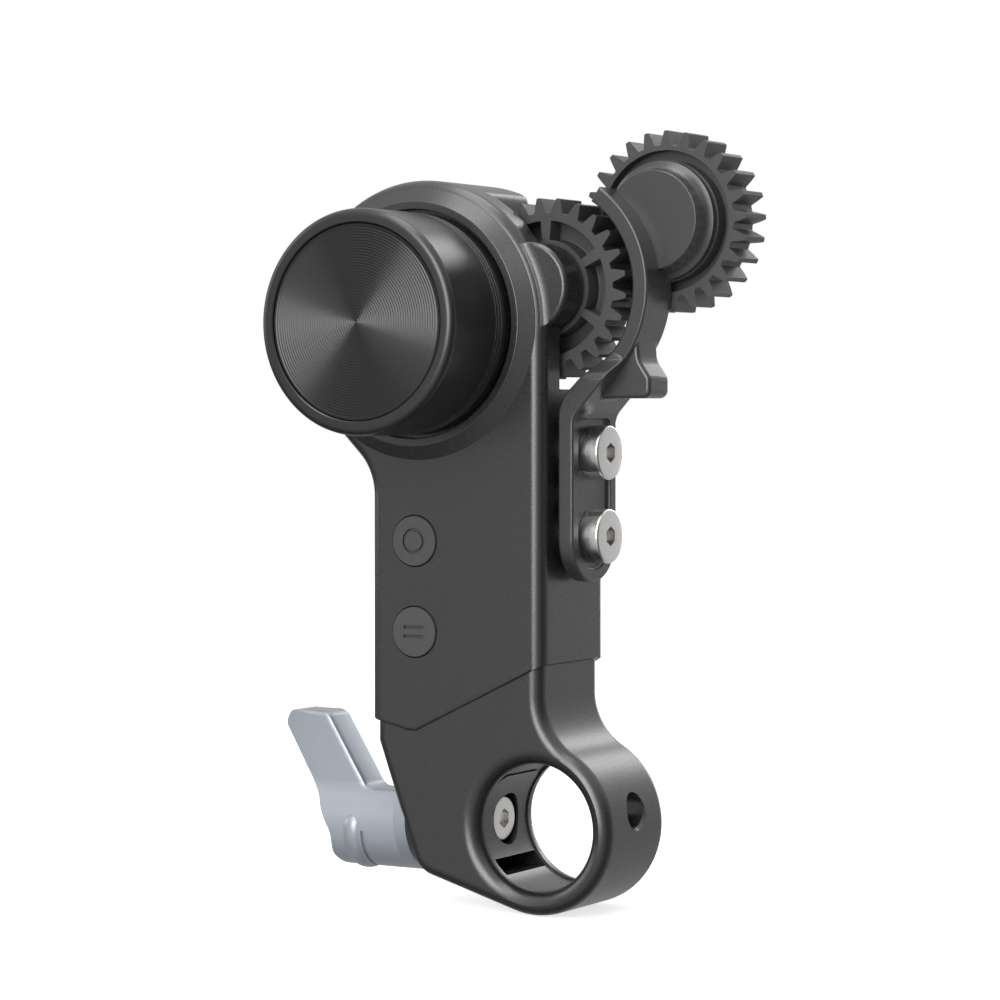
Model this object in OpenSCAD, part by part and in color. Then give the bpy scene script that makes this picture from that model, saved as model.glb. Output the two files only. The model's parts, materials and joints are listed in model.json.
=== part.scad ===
// Follow focus unit for a camera rig.
// A hand knob and a small motor turn a gear train that ends in a toothed idler wheel,
// which meshes with the gear ring of a lens. The unit hangs on a round rod.
// Origin: on the rod axis, half way through the body.
// +X points to the gears, +Y from the knob to the back, +Z up.

/* [Rod clamp] */
// Diameter of the rod that the clamp takes
rod_d = 15; // [14:0.5:17]
// Radial clearance between the rod and the open bore
rod_gap = 0.05; // [0.02:0.01:0.1]
// Wall of the round lug outside the bore
lug_wall = 2.75; // [2:0.25:4]
// Chamfer at both mouths of the bore
bore_chamfer = 0.8; // [0.2:0.1:1.2]
// Depth of the relief between the two lands that hold the rod
bore_relief = 0.25; // [0.2:0.05:0.4]
// Core diameter of the tapped hole in the lug
tap_d = 4.2; // [2.5:0.1:5]
// Height of the tapped hole above the rod axis
tap_z = 2.1; // [0:0.1:4]
// Radius of the block's lower left corner
corner_r = 3.5; // [2:0.25:5]
// Distance of that corner's centre to the left of the rod axis
corner_x = 13.4; // [12.5:0.1:15]
// Distance of that corner's centre below the rod axis
corner_z = 3.2; // [2:0.1:5]
// Radius of the hollow between the lug and the neck
neck_r = 7.5; // [5:0.5:9]
// Height of the neck's seam above the rod axis
seam_z = 9.3; // [8.5:0.1:10]
// Thickness of the neck's rear cover
neck_cover_t = 1; // [0.8:0.05:1.1]

/* [Body] */
// Depth of the casing, front to back
body_depth = 15.6; // [15:0.1:18]
// Distance from the rod axis to the casing's left side
shank_left = 22.2; // [21.5:0.1:24]
// Distance from the rod axis to the casing's right side
shank_right = 1.7; // [1.2:0.1:2.2]
// Radius of the round head
head_r = 17.3; // [17:0.1:19]
// Knob axis to the left of the rod axis
knob_x = 15.5; // [15:0.1:16]
// Knob axis above the rod axis
knob_z = 59.6; // [58:0.1:64]
// Radius of the hollow where the head meets the shank
shoulder_r = 7; // [4:0.5:9]
// Thickness of the side walls
wall = 1.5; // [1.2:0.1:1.8]
// Thickness of the front wall
front_wall = 1.2; // [1:0.1:1.4]
// How far the casing stands proud of the clamp block
step_proud = 0.4; // [0.2:0.05:0.6]
// Height of the step between casing and block at the left side
step_left_z = 12.2; // [11.5:0.1:13]
// Height of the step at its lowest point
step_low_z = 10.8; // [10.3:0.1:11.4]
// Height of the step at the right side
step_right_z = 19.4; // [18.5:0.1:20.5]

/* [Gears] */
// Module of the lens drive gears
gear_module = 0.8; // [0.8:0.01:0.84]
// Teeth on the drive gear and on the idler gear
gear_teeth = 25; // [25:1:25]
// Teeth on the two pinions
pinion_teeth = 13; // [13:1:13]
// Play between meshing flanks
backlash = 0.14; // [0.1:0.01:0.2]
// Direction from the knob axis to the drive axis, in degrees
drive_angle = 16; // [12:1:20]
// Direction from the drive axis to the idler axis, in degrees
idler_angle = 31.3; // [25:0.1:38]
// Width of the drive gear's teeth
drive_face = 5.1; // [4:0.1:5.2]
// Width of the idler gear's teeth
idler_face = 5.2; // [4.8:0.1:5.6]
// Radius of the fixed axles
axle_r = 2; // [1.8:0.05:2.2]
// Width of a spoke in the drive gear
spoke_w = 1.2; // [0.8:0.1:1.6]

/* [Knob] */
// Radius of the knob's grip
knob_r = 13.3; // [12.6:0.1:13.4]
// Length of the grip
knob_len = 12.9; // [11:0.1:16]
// Radius of the inset face disc
face_r = 11.55; // [10:0.05:11.7]
// Thickness of the face disc
face_t = 0.7; // [0.4:0.1:1]
// Radius of the collar round the knob
collar_r = 14.7; // [14.5:0.1:15.5]
// Height of the collar in front of the casing
collar_h = 1.2; // [0.9:0.1:1.6]
// Radius of the knob shaft
shaft_r = 2; // [1.8:0.05:2.2]

/* [Gear guard] */
// Radial gap between the drive gear and the guard
guard_gap = 1.3; // [0.8:0.1:1.8]
// Thickness of the guard's band
guard_t = 2; // [1.5:0.1:2.4]
// Depth of the guard
guard_depth = 6.4; // [5.6:0.1:6.4]
// Half the width of the screwed flange
flange_half = 5.45; // [4.6:0.05:6.5]
// Thickness of the flange
flange_t = 2; // [1.5:0.1:2.5]
// How far the lower bracket screw lies below the knob axis
screw_drop = 25.25; // [23.5:0.05:26.5]
// Distance between the two bracket screws
screw_pitch = 9.9; // [8:0.1:10]
// Height of the seats that hold the flange off the casing
seat_h = 0.85; // [0.5:0.05:1.2]

/* [Link] */
// Half the width of the link plate
link_half = 5.1; // [4.2:0.1:5.6]
// Thickness of the link plate
link_t = 3.1; // [2.4:0.1:4]
// Height of the link plate's rim above its floor
link_rim = 0.7; // [0.3:0.1:1]
// Width of that rim
link_rim_w = 1.2; // [0.8:0.1:1.4]

/* [Buttons] */
// Radius of the push buttons
button_r = 3; // [2.6:0.1:3.4]
// Height of the upper button above the rod axis
button_high_z = 33.6; // [31:0.1:35]
// Distance between the buttons
button_pitch = 10.9; // [9:0.1:10.9]
// How far a button goes in
button_travel = 0.4; // [0.2:0.05:0.5]

/* [Lever] */
// Radius of the lever's hub
hub_r = 6.8; // [6:0.1:6.8]
// Length of the lever's hub
hub_len = 12.9; // [11:0.1:14]
// Thickness of the lever's blade
blade_t = 4.4; // [3:0.1:5]
// How far the blade's tip reaches past the hub
blade_reach = 7; // [5:0.1:8]
// Width of the blade at its tip
blade_tip_w = 5.5; // [4:0.1:6]
// Height of the blade above the rod axis
blade_z = 12; // [10:0.5:16]

/* [Hidden] */
$fn = 96;

// Colours
casing_colour = "#444444";
gear_colour = "#555555";
lever_colour = "#a5aab4";
link_colour = "#b4bbc6";
screw_colour = "#c8c6c3";
panel_colour = "#969696";
steel_colour = "#b0b0b0";
bronze_colour = "#b08d57";
board_colour = "#1f5a3a";

// Fits
press = 0.01;
running = 0.04;
loose = 0.3;

// Rod clamp
bore_r = rod_d / 2 + rod_gap;
lug_r = bore_r + lug_wall;
block_half = body_depth / 2 - step_proud;
block_left = shank_left - step_proud - 0.1;
block_right = shank_right - step_proud - 0.1;

// Casing depths along Y
half = body_depth / 2;
front_in = -half + front_wall;
rear_in = half - wall;
panel_recess = 0.65;
panel_t = 0.5;
notch_wall = 1;

// Axes of the gear train in the front view
pitch_r = gear_module * gear_teeth / 2;
pinion_r = gear_module * pinion_teeth / 2;
gear_tip_r = pitch_r + gear_module;
pinion_tip_r = pinion_r + gear_module;
mesh = pitch_r + pinion_r;
knob_at = [-knob_x, knob_z];
drive_at = knob_at + mesh * [cos(drive_angle), sin(drive_angle)];
idler_at = drive_at + mesh * [cos(idler_angle), sin(idler_angle)];

// Gear planes along Y
drive_y0 = front_in + 4.4;
drive_y1 = drive_y0 + drive_face;
idler_y0 = drive_y1 + 0.6;
idler_y1 = idler_y0 + idler_face;
notch_front = drive_y0 - 1.3;
notch_r = gear_tip_r + 1.5;
web_y = drive_y0 + drive_face / 2;
bush_r = axle_r + 1;
gear_hub_r = 5.8;
lobe_r = 5.4;
rim_r = gear_tip_r - 2.7;
dish_r = gear_tip_r - 2.34;
dish_depth = 1.6;

// Knob train
wheel_module = 0.5;
wheel_teeth = 40;
motor_teeth = 12;
wheel_mesh = wheel_module * (wheel_teeth + motor_teeth) / 2;
motor_at = knob_at - [0, wheel_mesh];
wheel_y0 = front_in + loose;
wheel_y1 = wheel_y0 + 1.5;
knob_back = -half - 0.8;
knob_front = knob_back - knob_len;
cup_r = face_r + 0.05;
web_front = knob_front + face_t + 0.2;
web_back = web_front + 2.8;
boss_back = web_back + 4;
spigot_front = boss_back + 0.4;
bearing_front = spigot_front + 0.2;
bearing_t = 3;
bearing_r = shaft_r + 3;
spigot_r = bearing_r + 1.2;
journal_r = 1.5;
rear_bush_r = 2.45;
window_y1 = drive_y1 + 0.5;

// Guard and link
guard_in = gear_tip_r + guard_gap;
guard_out = guard_in + guard_t;
flange_x0 = shank_right + seat_h;
flange_x1 = flange_x0 + flange_t;
guard_y1 = idler_y0 - loose;
guard_y0 = guard_y1 - guard_depth;
screw_low_z = knob_z - screw_drop;
flange_top_z = screw_low_z + screw_pitch + 4.2;
boss_y0 = guard_y0 + guard_depth / 2;
boss_r = 7;
boss_y1 = idler_y0 + dish_depth - loose;
link_y0 = idler_y1 + 0.6;
link_y1 = link_y0 + link_t;
link_boss_r = link_half + 0.5;

// Screws: radius of the head, of the shank, height of the head, radius of the socket
bracket_screw = [3.25, 1.5, 2.15, 1.15];
link_screw = [3, 1.25, 1.8, 1.15];
small_screw = [1.1, 0.8, 0.7, 0.45];
jaw_screw = [2.75, 1.25, 1.5, 1.15];
knob_screw_size = [2.6, 1.25, 1.6, 1.15];

// Lever and jaw along X
jaw_open = 0.25;
jaw_half = 4.8;
jaw_low_z = -bore_r * 0.57;
jaw_high_z = bore_r * 0.74;
jaw_wall = 3.45;
jaw_room = 1.3;
hub_seat = 5.2;
jaw_back = -bore_r - jaw_wall;
pocket_back = jaw_back - jaw_room;
hub_floor = pocket_back - hub_seat;
hub_x1 = hub_floor - loose;
hub_x0 = hub_x1 - hub_len;
hub_bead = 3.3;
groove_x = hub_x0 + hub_bead;
spindle_r = 2.5;
collar_x0 = pocket_back + 0.05;
collar_x1 = collar_x0 + 0.75;
screw_seat_x = -bore_r - 1.85;

// Buttons
button_gap = 0.15;
button_x = knob_x + 0.3;
button_low_z = button_high_z - button_pitch;
button_face = -half + 0.05;
flange_y0 = front_in + 0.05;
flange_y1 = flange_y0 + 0.4;
switch_w = 3.2;
switch_y0 = flange_y1 + button_travel + 0.1;
board_y0 = switch_y0 + 0.7;
board_y1 = board_y0 + 0.8;

// Inside of the shank
shelf_y0 = board_y1 + 0.2;
shelf_z0 = step_right_z - 0.9;
shelf_z1 = shelf_z0 + 1.6;
battery_z1 = motor_at[1] - 7.6;
inside_w = shank_left - 8.3;

// Helpers
function polar(r, a) = r * [cos(a), sin(a)];
// Direction of the common outside tangent's normal for two circles
function tangent_angle(a, ra, b, rb, side) =
    let (d = b - a) atan2(d[1], d[0]) + side * acos((ra - rb) / norm(d));
// Crossing point of two circles, on the left of the line from a to b
function circle_cross(a, ra, b, rb) =
    let (d = norm(b - a), u = (b - a) / d, t = (ra * ra - rb * rb + d * d) / (2 * d))
    a + t * u + sqrt(ra * ra - t * t) * [-u[1], u[0]];
function between(p, q, x) = p[1] + (q[1] - p[1]) * (x - p[0]) / (q[0] - p[0]);

module along_y(y0, y1) {
    translate([0, y1, 0])
        rotate([90, 0, 0])
            linear_extrude(height = y1 - y0)
                children();
}

module along_x(x0, x1) {
    translate([x0, 0, 0])
        rotate([90, 0, 90])
            linear_extrude(height = x1 - x0)
                children();
}

module disc_y(at, r, y0, y1) {
    translate([at[0], y1, at[1]])
        rotate([90, 0, 0])
            cylinder(r = r, h = y1 - y0);
}

module disc_x(at, r, x0, x1) {
    translate([x0, at[0], at[1]])
        rotate([0, 90, 0])
            cylinder(r = r, h = x1 - x0);
}

// A turned shape about an axis along Y; the profile is [radius, y]
module turned_y(at, profile) {
    translate([at[0], 0, at[1]])
        rotate([-90, 0, 0])
            rotate_extrude()
                polygon(profile);
}

// A turned shape about the rod-crossing axis along X; the profile is [radius, x]
module turned_x(profile) {
    rotate([0, 90, 0])
        rotate_extrude()
            polygon(profile);
}

module ring_y(at, r_in, r_out, y0, y1) {
    difference() {
        disc_y(at, r_out, y0, y1);
        disc_y(at, r_in, y0 - 1, y1 + 1);
    }
}

// A cap screw whose head face looks along +Z; the seat is at z = 0
module cap_screw(size, shank) {
    edge = 0.3;
    difference() {
        union() {
            rotate_extrude()
                polygon([[0, 0], [size[0], 0], [size[0], size[2] - edge],
                    [size[0] - edge, size[2]], [0, size[2]]]);
            translate([0, 0, -shank])
                cylinder(r = size[1], h = shank + 0.01);
        }
        translate([0, 0, size[2] * 0.35])
            cylinder(r = size[3], h = size[2], $fn = 6);
    }
}

// Gear outline
pressure = 25;
function inv(a) = tan(a) * 180 / PI - a;
function half_tooth(m, z, r, play) =
    let (rp = m * z / 2, rb = rp * cos(pressure))
    90 / z - play / 4 / rp * 180 / PI + inv(pressure) - inv(acos(min(1, rb / r)));
function flank_radii(m, z) =
    let (rp = m * z / 2, rb = rp * cos(pressure), root = rp - 1.25 * m, tip = rp + m,
        start = max(root + 0.05, rb))
    concat([root], [for (i = [0:4]) start + (tip - start) * i / 4]);
function gear_points(m, z, play, phase) = [
    for (tooth = [0:z - 1]) let (rs = flank_radii(m, z), n = len(rs))
    for (k = [0:2 * n - 1]) let (
        i = k < n ? k : 2 * n - 1 - k,
        side = k < n ? -1 : 1,
        spread = half_tooth(m, z, max(rs[i], m * z / 2 * cos(pressure)), play))
    polar(rs[i], phase + tooth * 360 / z + side * spread)
];

module gear_y(at, m, z, play, phase, y0, y1) {
    along_y(y0, y1)
        translate(at)
            polygon(gear_points(m, z, play, phase));
}

// Step line between casing and clamp block, in the front view
step_points = [[-shank_left, step_left_z], [-17, step_low_z], [-15.8, step_low_z],
    [shank_right, step_right_z]];
step_at_left = between(step_points[0], step_points[1], -block_left);
step_at_right = between(step_points[2], step_points[3], block_right);

// Casing outline, moved in by i; low is how far the inside runs below the step line
module casing_2d(i, low = 0) {
    diagonal = knob_at + polar(head_r - i, 225);
    corner = [-shank_left + i, diagonal[1] + diagonal[0] + shank_left - i];
    hollow_r = shoulder_r + i;
    hollow = [-shank_left - shoulder_r,
        diagonal[0] + diagonal[1] - sqrt(2) * hollow_r + shank_left + shoulder_r];
    difference() {
        union() {
            translate(knob_at)
                circle(r = head_r - i);
            polygon([
                knob_at,
                diagonal,
                hollow + polar(hollow_r, 45),
                [-shank_left + i, hollow[1]],
                [-shank_left + i, step_points[0][1] - low],
                [step_points[1][0], step_points[1][1] - low],
                [step_points[2][0], step_points[2][1] - low],
                [shank_right - i, step_points[3][1] - low],
                [shank_right - i, knob_z]]);
        }
        translate(hollow)
            circle(r = hollow_r);
    }
}

// Grey panel outline on the back, moved in by i
panel_r = head_r - 3;
panel_notch_r = notch_r + 1.6;
stem_left = -shank_right - 6.1;
stem_right = -shank_right - 0.3;
stem_low_z = step_right_z + 0.6;
module panel_2d(i) {
    tangent = knob_at + polar(panel_r - i, 225);
    difference() {
        union() {
            translate(knob_at)
                circle(r = panel_r - i);
            polygon([
                knob_at,
                tangent,
                [stem_left + i, tangent[0] + tangent[1] - stem_left - i],
                [stem_left + i, stem_low_z + 1.1 + i],
                [stem_left + 1.6 + i, stem_low_z + i],
                [stem_right - i, stem_low_z + 2.1 + i],
                [stem_right - i, knob_z]]);
        }
        translate(drive_at)
            circle(r = panel_notch_r + i);
    }
}

// The rear cover under the panel, and the places of its screws
cover_inset = 1;
cover_gap = 0.1;
pillar_r = small_screw[1] + 0.5;
cover_ring_r = panel_r - cover_inset - small_screw[0] - 0.15;
cover_screw_at = [
    knob_at + polar(cover_ring_r, 120),
    knob_at + polar(cover_ring_r, 200),
    [(stem_left + stem_right) / 2, knob_z - 15.6],
    [(stem_left + stem_right) / 2, stem_low_z + 5.2]];
cover_y0 = rear_in + 0.05;
cover_y1 = half - panel_recess;

// Corner between the head and the notch, to be rounded with horn_r
horn_r = 1.6;
horn_at = circle_cross(knob_at, head_r - horn_r, drive_at, notch_r + horn_r);
module horn_cut_2d() {
    on_head = knob_at + (horn_at - knob_at) * head_r / (head_r - horn_r);
    on_notch = drive_at + (horn_at - drive_at) * notch_r / (notch_r + horn_r);
    tip = circle_cross(knob_at, head_r, drive_at, notch_r);
    difference() {
        polygon([horn_at, on_head, tip + (tip - horn_at), on_notch]);
        translate(horn_at)
            circle(r = horn_r);
    }
}

// Everything the casing encloses or shows, before its holes are cut
module housing_solids() {
    difference() {
        union() {
            along_y(-half, half)
                casing_2d(0);
            disc_y(drive_at, lobe_r, -half, notch_front);
        }
        difference() {
            along_y(front_in, rear_in)
                casing_2d(wall, 8);
            // Wall round the gear notch
            disc_y(drive_at, notch_r + notch_wall, notch_front - notch_wall, half);
            // Boss that carries the drive axle
            disc_y(drive_at, axle_r + 1.6, -half, half);
            // Boss of the rear bush
            disc_y(knob_at, rear_bush_r + 0.9, window_y1 + 0.1, half);
            // Pillars under the rear cover
            for (at = cover_screw_at)
                disc_y(at, pillar_r, -half, half);
            // Bosses of the bracket screws
            for (z = [screw_low_z, screw_low_z + screw_pitch])
                disc_x([0, z], bracket_screw[1] + 1.3, -2.6, shank_right);
            // Cradle of the motor
            motor_cradle();
            // Shelf that the clamp block is screwed to
            translate([-shank_left, shelf_y0, shelf_z0])
                cube([shank_left + shank_right, half * 2, shelf_z1 - shelf_z0]);
        }
    }
    // Collar and bearing spigot in front
    ring_y(knob_at, knob_r + 0.4, collar_r, -half - collar_h, -half + 0.01);
    disc_y(knob_at, spigot_r, spigot_front, -half + 0.01);
    // Seats under the bracket
    for (z = [screw_low_z, screw_low_z + screw_pitch])
        disc_x([0, z], bracket_screw[0] + 0.6, shank_right - 0.01, flange_x0);
}

motor_r = 6;
motor_y0 = wheel_y1 + 0.9;
motor_y1 = rear_in - 0.3;
module motor_cradle() {
    y1 = motor_y0 + 5;
    disc_y(motor_at, motor_r + 1.1, motor_y0, y1);
    translate([-shank_left - 4, motor_y0, motor_at[1] - 1])
        cube([shank_left + shank_right + 4, y1 - motor_y0, 2]);
}

module main_housing() {
    color(casing_colour)
        difference() {
            housing_solids();
            // Open notch behind the front wall, where the gears turn
            disc_y(drive_at, notch_r, notch_front, half + 1);
            along_y(notch_front, half + 1)
                horn_cut_2d();
            // Window through which the knob's pinion meets the drive gear
            disc_y(knob_at, pinion_tip_r + 0.4, drive_y0 - 0.4, window_y1);
            // Drive axle
            disc_y(drive_at, axle_r + press, -half + 1, half);
            // Knob shaft, its bearing and its rear bush
            disc_y(knob_at, shaft_r + 0.4, spigot_front - 1, window_y1);
            disc_y(knob_at, bearing_r + press, spigot_front - 1, bearing_front + bearing_t);
            disc_y(knob_at, rear_bush_r + press, window_y1 - 1, rear_in);
            // Motor
            disc_y(motor_at, motor_r + press, motor_y0 - 1, rear_in);
            // Motor pinion
            disc_y(motor_at, wheel_module * (motor_teeth / 2 + 1) + loose, front_in, motor_y0);
            // Buttons
            for (z = [button_low_z, button_high_z])
                disc_y([-button_x, z], button_r + button_gap, -half - 1, front_in + 0.01);
            // Recess of the grey panel and the opening behind it
            along_y(cover_y1, half + 1)
                panel_2d(0);
            along_y(rear_in - 0.01, half)
                panel_2d(cover_inset - cover_gap);
            for (at = cover_screw_at)
                disc_y(at, small_screw[1] + press, rear_in - 5, half);
            // Bracket screws
            for (z = [screw_low_z, screw_low_z + screw_pitch])
                disc_x([0, z], bracket_screw[1] + press, -2.2, flange_x0 + 1);
            // Screws down into the clamp block
            for (x = block_screw_x)
                translate([x, block_screw_y, shelf_z0 - 1])
                    cylinder(r = small_screw[1] + running, h = 4);
        }
}

module rear_cover() {
    color(casing_colour)
        difference() {
            along_y(cover_y0, cover_y1)
                panel_2d(cover_inset);
            for (at = cover_screw_at) {
                disc_y(at, small_screw[1] + running, cover_y0 - 1, half);
                disc_y(at, small_screw[0] + running, cover_y1 - 0.45, half);
            }
        }
}

module rear_panel() {
    color(panel_colour)
        along_y(cover_y1 + 0.01, cover_y1 + panel_t)
            panel_2d(0.1);
}

module cover_screws() {
    color(screw_colour)
        for (at = cover_screw_at)
            translate([at[0], cover_y1 - 0.44, at[1]])
                rotate([-90, 0, 0])
                    cap_screw([small_screw[0], small_screw[1], 0.42, small_screw[3]], 3.2);
}

// Clamp block outline in the front view, below the step line; its straight sides run a hair
// inside the round corners, so that each side crosses its circle cleanly
sink = 0.01;
module block_2d() {
    corner = [-corner_x, -corner_z];
    left = [-block_left, seam_z];
    hollow = [block_right + neck_r,
        sqrt(pow(lug_r + neck_r, 2) - pow(block_right + neck_r, 2))];
    a1 = tangent_angle(left, 0, corner, corner_r, -1);
    a2 = tangent_angle(corner, corner_r, [0, 0], lug_r, -1);
    difference() {
        union() {
            polygon([
                [-block_left, step_at_left],
                left,
                corner + polar(corner_r - sink, a1),
                corner + polar(corner_r - sink, a2),
                polar(lug_r - sink, a2),
                [0, 0],
                hollow * lug_r / norm(hollow),
                [block_right, hollow[1]],
                [block_right, step_at_right],
                step_points[2],
                step_points[1]]);
            translate(corner)
                circle(r = corner_r);
            circle(r = lug_r);
        }
        translate(hollow)
            circle(r = neck_r);
    }
}

block_screw_x = [-shank_left + 5, -shank_right - 3.4];
block_screw_y = 1.5;
module clamp_block() {
    gap = 0.1;
    color(casing_colour)
        difference() {
            union() {
                along_y(-block_half, block_half)
                    block_2d();
                // Tongue inside the casing
                translate([-shank_left + wall + gap, shelf_y0 + gap, step_low_z - 1])
                    cube([shank_left + shank_right - 2 * wall - 2 * gap,
                        rear_in - shelf_y0 - 2 * gap, shelf_z0 - step_low_z + 1]);
            }
            // Bore with its relief and its two chamfers
            disc_y([0, 0], bore_r, -half, half);
            disc_y([0, 0], bore_r + bore_relief, -jaw_half - loose, jaw_half + loose);
            turned_y([0, 0], [[0, -half], [bore_r + bore_chamfer + half - block_half, -half],
                [bore_r, -block_half + bore_chamfer], [0, -block_half + bore_chamfer]]);
            turned_y([0, 0], [[0, half], [bore_r + bore_chamfer + half - block_half, half],
                [bore_r, block_half - bore_chamfer], [0, block_half - bore_chamfer]]);
            // Pocket of the jaw, with room under the jaw
            translate([pocket_back, -jaw_half - loose, jaw_low_z - 1.8])
                cube([-pocket_back, 2 * (jaw_half + loose), jaw_high_z - jaw_low_z + 1.8 + loose]);
            // Spindle and the recess of the lever's hub
            disc_x([0, 0], spindle_r + running, hub_floor - 1, 0);
            disc_x([0, 0], hub_r + 0.25, -shank_left - 5, hub_floor);
            // Tapped hole in the lug
            disc_x([0, tap_z], tap_d / 2, 0, lug_r + 1);
            // Rebate of the neck cover
            translate([-shank_left, block_half - neck_cover_t, seam_z])
                cube([2 * shank_left, half, step_right_z]);
            for (x = block_screw_x)
                translate([x, block_screw_y, shelf_z0 - 6])
                    cylinder(r = small_screw[1] + press, h = 9);
        }
}

module neck_cover() {
    color(casing_colour)
        along_y(block_half - neck_cover_t + 0.01, block_half)
            intersection() {
                block_2d();
                translate([-block_left - 1, seam_z + 0.08])
                    square([block_left + block_right + 9, 20]);
            }
}

module block_screws() {
    color(screw_colour)
        for (x = block_screw_x)
            translate([x, block_screw_y, shelf_z1])
                cap_screw([1.8, small_screw[1], 1.2, 0.75], 6);
}

// Gear guard: a bent band with a screwed flange, a tab and the idler's boss
module guard_profile() {
    low = -37;
    inner = drive_at + polar(guard_in, low);
    outer = drive_at + polar(guard_out, low);
    bend = [flange_x1, inner[1] - (inner[0] - flange_x1)];
    difference() {
        union() {
            // Curved band round the drive gear
            intersection() {
                translate(drive_at)
                    difference() {
                        circle(r = guard_out);
                        circle(r = guard_in);
                    }
                translate(drive_at)
                    polygon([[0, 0], polar(40, low), polar(60, 0), polar(40, 57)]);
            }
            // Slanted band down to the flange
            polygon([
                [flange_x0, flange_top_z],
                [flange_x0, bend[1] + 0.3],
                bend,
                inner,
                outer,
                [outer[0] - 1.8, outer[1] - 2.4],
                [flange_x1, flange_top_z]]);
            tab_2d(outer, bend[1] - 1.6);
        }
        translate(drive_at)
            circle(r = guard_in);
    }
}

module tab_2d(outer, tab_z) {
    tab_x = drive_at[0] + guard_out;
    polygon([
        [flange_x1, flange_top_z],
        [flange_x1 + 2.2, tab_z],
        [tab_x - 0.4, tab_z],
        [tab_x, tab_z + 0.4],
        [tab_x, tab_z + 2],
        [tab_x - 1.4, tab_z + 4.2],
        [tab_x - 1.6, tab_z + 6.6],
        outer]);
}

module guard_bracket() {
    color(casing_colour)
        difference() {
            union() {
                along_y(guard_y0, guard_y1)
                    guard_profile();
                // Flange with a round foot
                along_x(flange_x0, flange_x1) {
                    translate([0, screw_low_z])
                        circle(r = flange_half);
                    polygon([
                        [-flange_half, screw_low_z],
                        [flange_half, screw_low_z],
                        [flange_half, flange_top_z],
                        [guard_y1, flange_top_z + 3],
                        [guard_y0, flange_top_z + 3],
                        [-flange_half, flange_top_z]]);
                }
                // Half-moon that carries the idler axle
                difference() {
                    union() {
                        disc_y(idler_at, boss_r, boss_y0, guard_y1 + 0.01);
                        disc_y(idler_at, boss_r + 0.3, guard_y1, boss_y1);
                    }
                    disc_y(drive_at, guard_in, -half, guard_y1);
                }
            }
            disc_y(drive_at, pinion_tip_r + 0.6, guard_y1 - 1, half * 2);
            disc_y(idler_at, axle_r + press, boss_y0 + 1, half * 2);
            for (z = [screw_low_z, screw_low_z + screw_pitch])
                disc_x([0, z], bracket_screw[1] + 0.1, 0, flange_x1 + 1);
        }
}

module bracket_screws() {
    color(screw_colour)
        for (z = [screw_low_z, screw_low_z + screw_pitch])
            translate([flange_x1, 0, z])
                rotate([0, 90, 0])
                    cap_screw(bracket_screw, flange_x1 + 2);
}

// Stadium between the drive axis and the idler axis, moved in by i
module link_2d(i) {
    r = link_half - i;
    n = polar(r, idler_angle + 90);
    translate(drive_at)
        circle(r = r);
    translate(idler_at)
        circle(r = r);
    polygon([drive_at + n, idler_at + n, idler_at - n, drive_at - n]);
}

module link_plate() {
    color(link_colour)
        difference() {
            union() {
                along_y(link_y0, link_y1)
                    link_2d(0);
                // Spacer that reaches into the idler's dish
                disc_y(idler_at, link_boss_r, idler_y1 - dish_depth + loose, link_y0 + 0.01);
            }
            along_y(link_y1 - link_rim, link_y1 + 1)
                link_2d(link_rim_w);
            for (at = [drive_at, idler_at])
                disc_y(at, axle_r + press, 0, link_y1 - link_rim - 1);
            for (at = [drive_at, idler_at])
                disc_y(at, link_screw[1] + 0.05, 0, link_y1);
        }
}

module link_screws() {
    color(screw_colour)
        for (at = [drive_at, idler_at])
            translate([at[0], link_y1 - link_rim, at[1]])
                rotate([-90, 0, 0])
                    cap_screw(link_screw, 5);
}

module axle(at, y0) {
    y1 = link_y1 - link_rim - 1;
    color(steel_colour)
        difference() {
            disc_y(at, axle_r, y0, y1);
            disc_y(at, link_screw[1] + press, y1 - 4.3, y1 + 1);
        }
}

module drive_axle() {
    axle(drive_at, -half + 1);
}

module idler_axle() {
    axle(idler_at, boss_y0 + 1);
}

module knob_bearing() {
    color(steel_colour)
        ring_y(knob_at, shaft_r + running, bearing_r, bearing_front, bearing_front + bearing_t);
}

module rear_bush() {
    color(bronze_colour)
        ring_y(knob_at, journal_r + running, rear_bush_r, window_y1 + 0.15, rear_in - 0.05);
}

module motor() {
    color(steel_colour)
        difference() {
            union() {
                disc_y(motor_at, motor_r, motor_y0, motor_y1);
                disc_y(motor_at, 2, motor_y0 - 0.5, motor_y0 + 0.01);
            }
            disc_y(motor_at, motor_shaft_r + running, motor_y0 - 1, motor_y1 - 1);
        }
}

module main_board() {
    z0 = shelf_z0 + 0.2;
    color(board_colour)
        translate([-shank_left + wall + 0.2, board_y0, z0])
            cube([inside_w, board_y1 - board_y0, battery_z1 - z0]);
}

module button_switches() {
    color("#2b2b2b")
        for (z = [button_low_z, button_high_z])
            translate([-button_x - switch_w / 2, switch_y0, z - switch_w / 2])
                cube([switch_w, board_y0 - switch_y0, switch_w]);
}

module battery_cell() {
    z0 = shelf_z1 + 1.5;
    color("#3a6ea5")
        translate([-shank_left + wall + 0.25, board_y1 + 0.05, z0])
            cube([inside_w - 0.1, rear_in - board_y1 - 0.4, battery_z1 - z0]);
}

module encoder_board() {
    color(board_colour)
        ring_y(knob_at, spigot_r + 0.1, cup_r - 0.4, -half - 0.5, -half);
}

module lever_washer() {
    color(steel_colour)
        difference() {
            disc_x([0, 0], hub_r - 1, hub_x1, hub_floor);
            disc_x([0, 0], spindle_r + 0.1, hub_x1 - 1, 0);
        }
}

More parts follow.
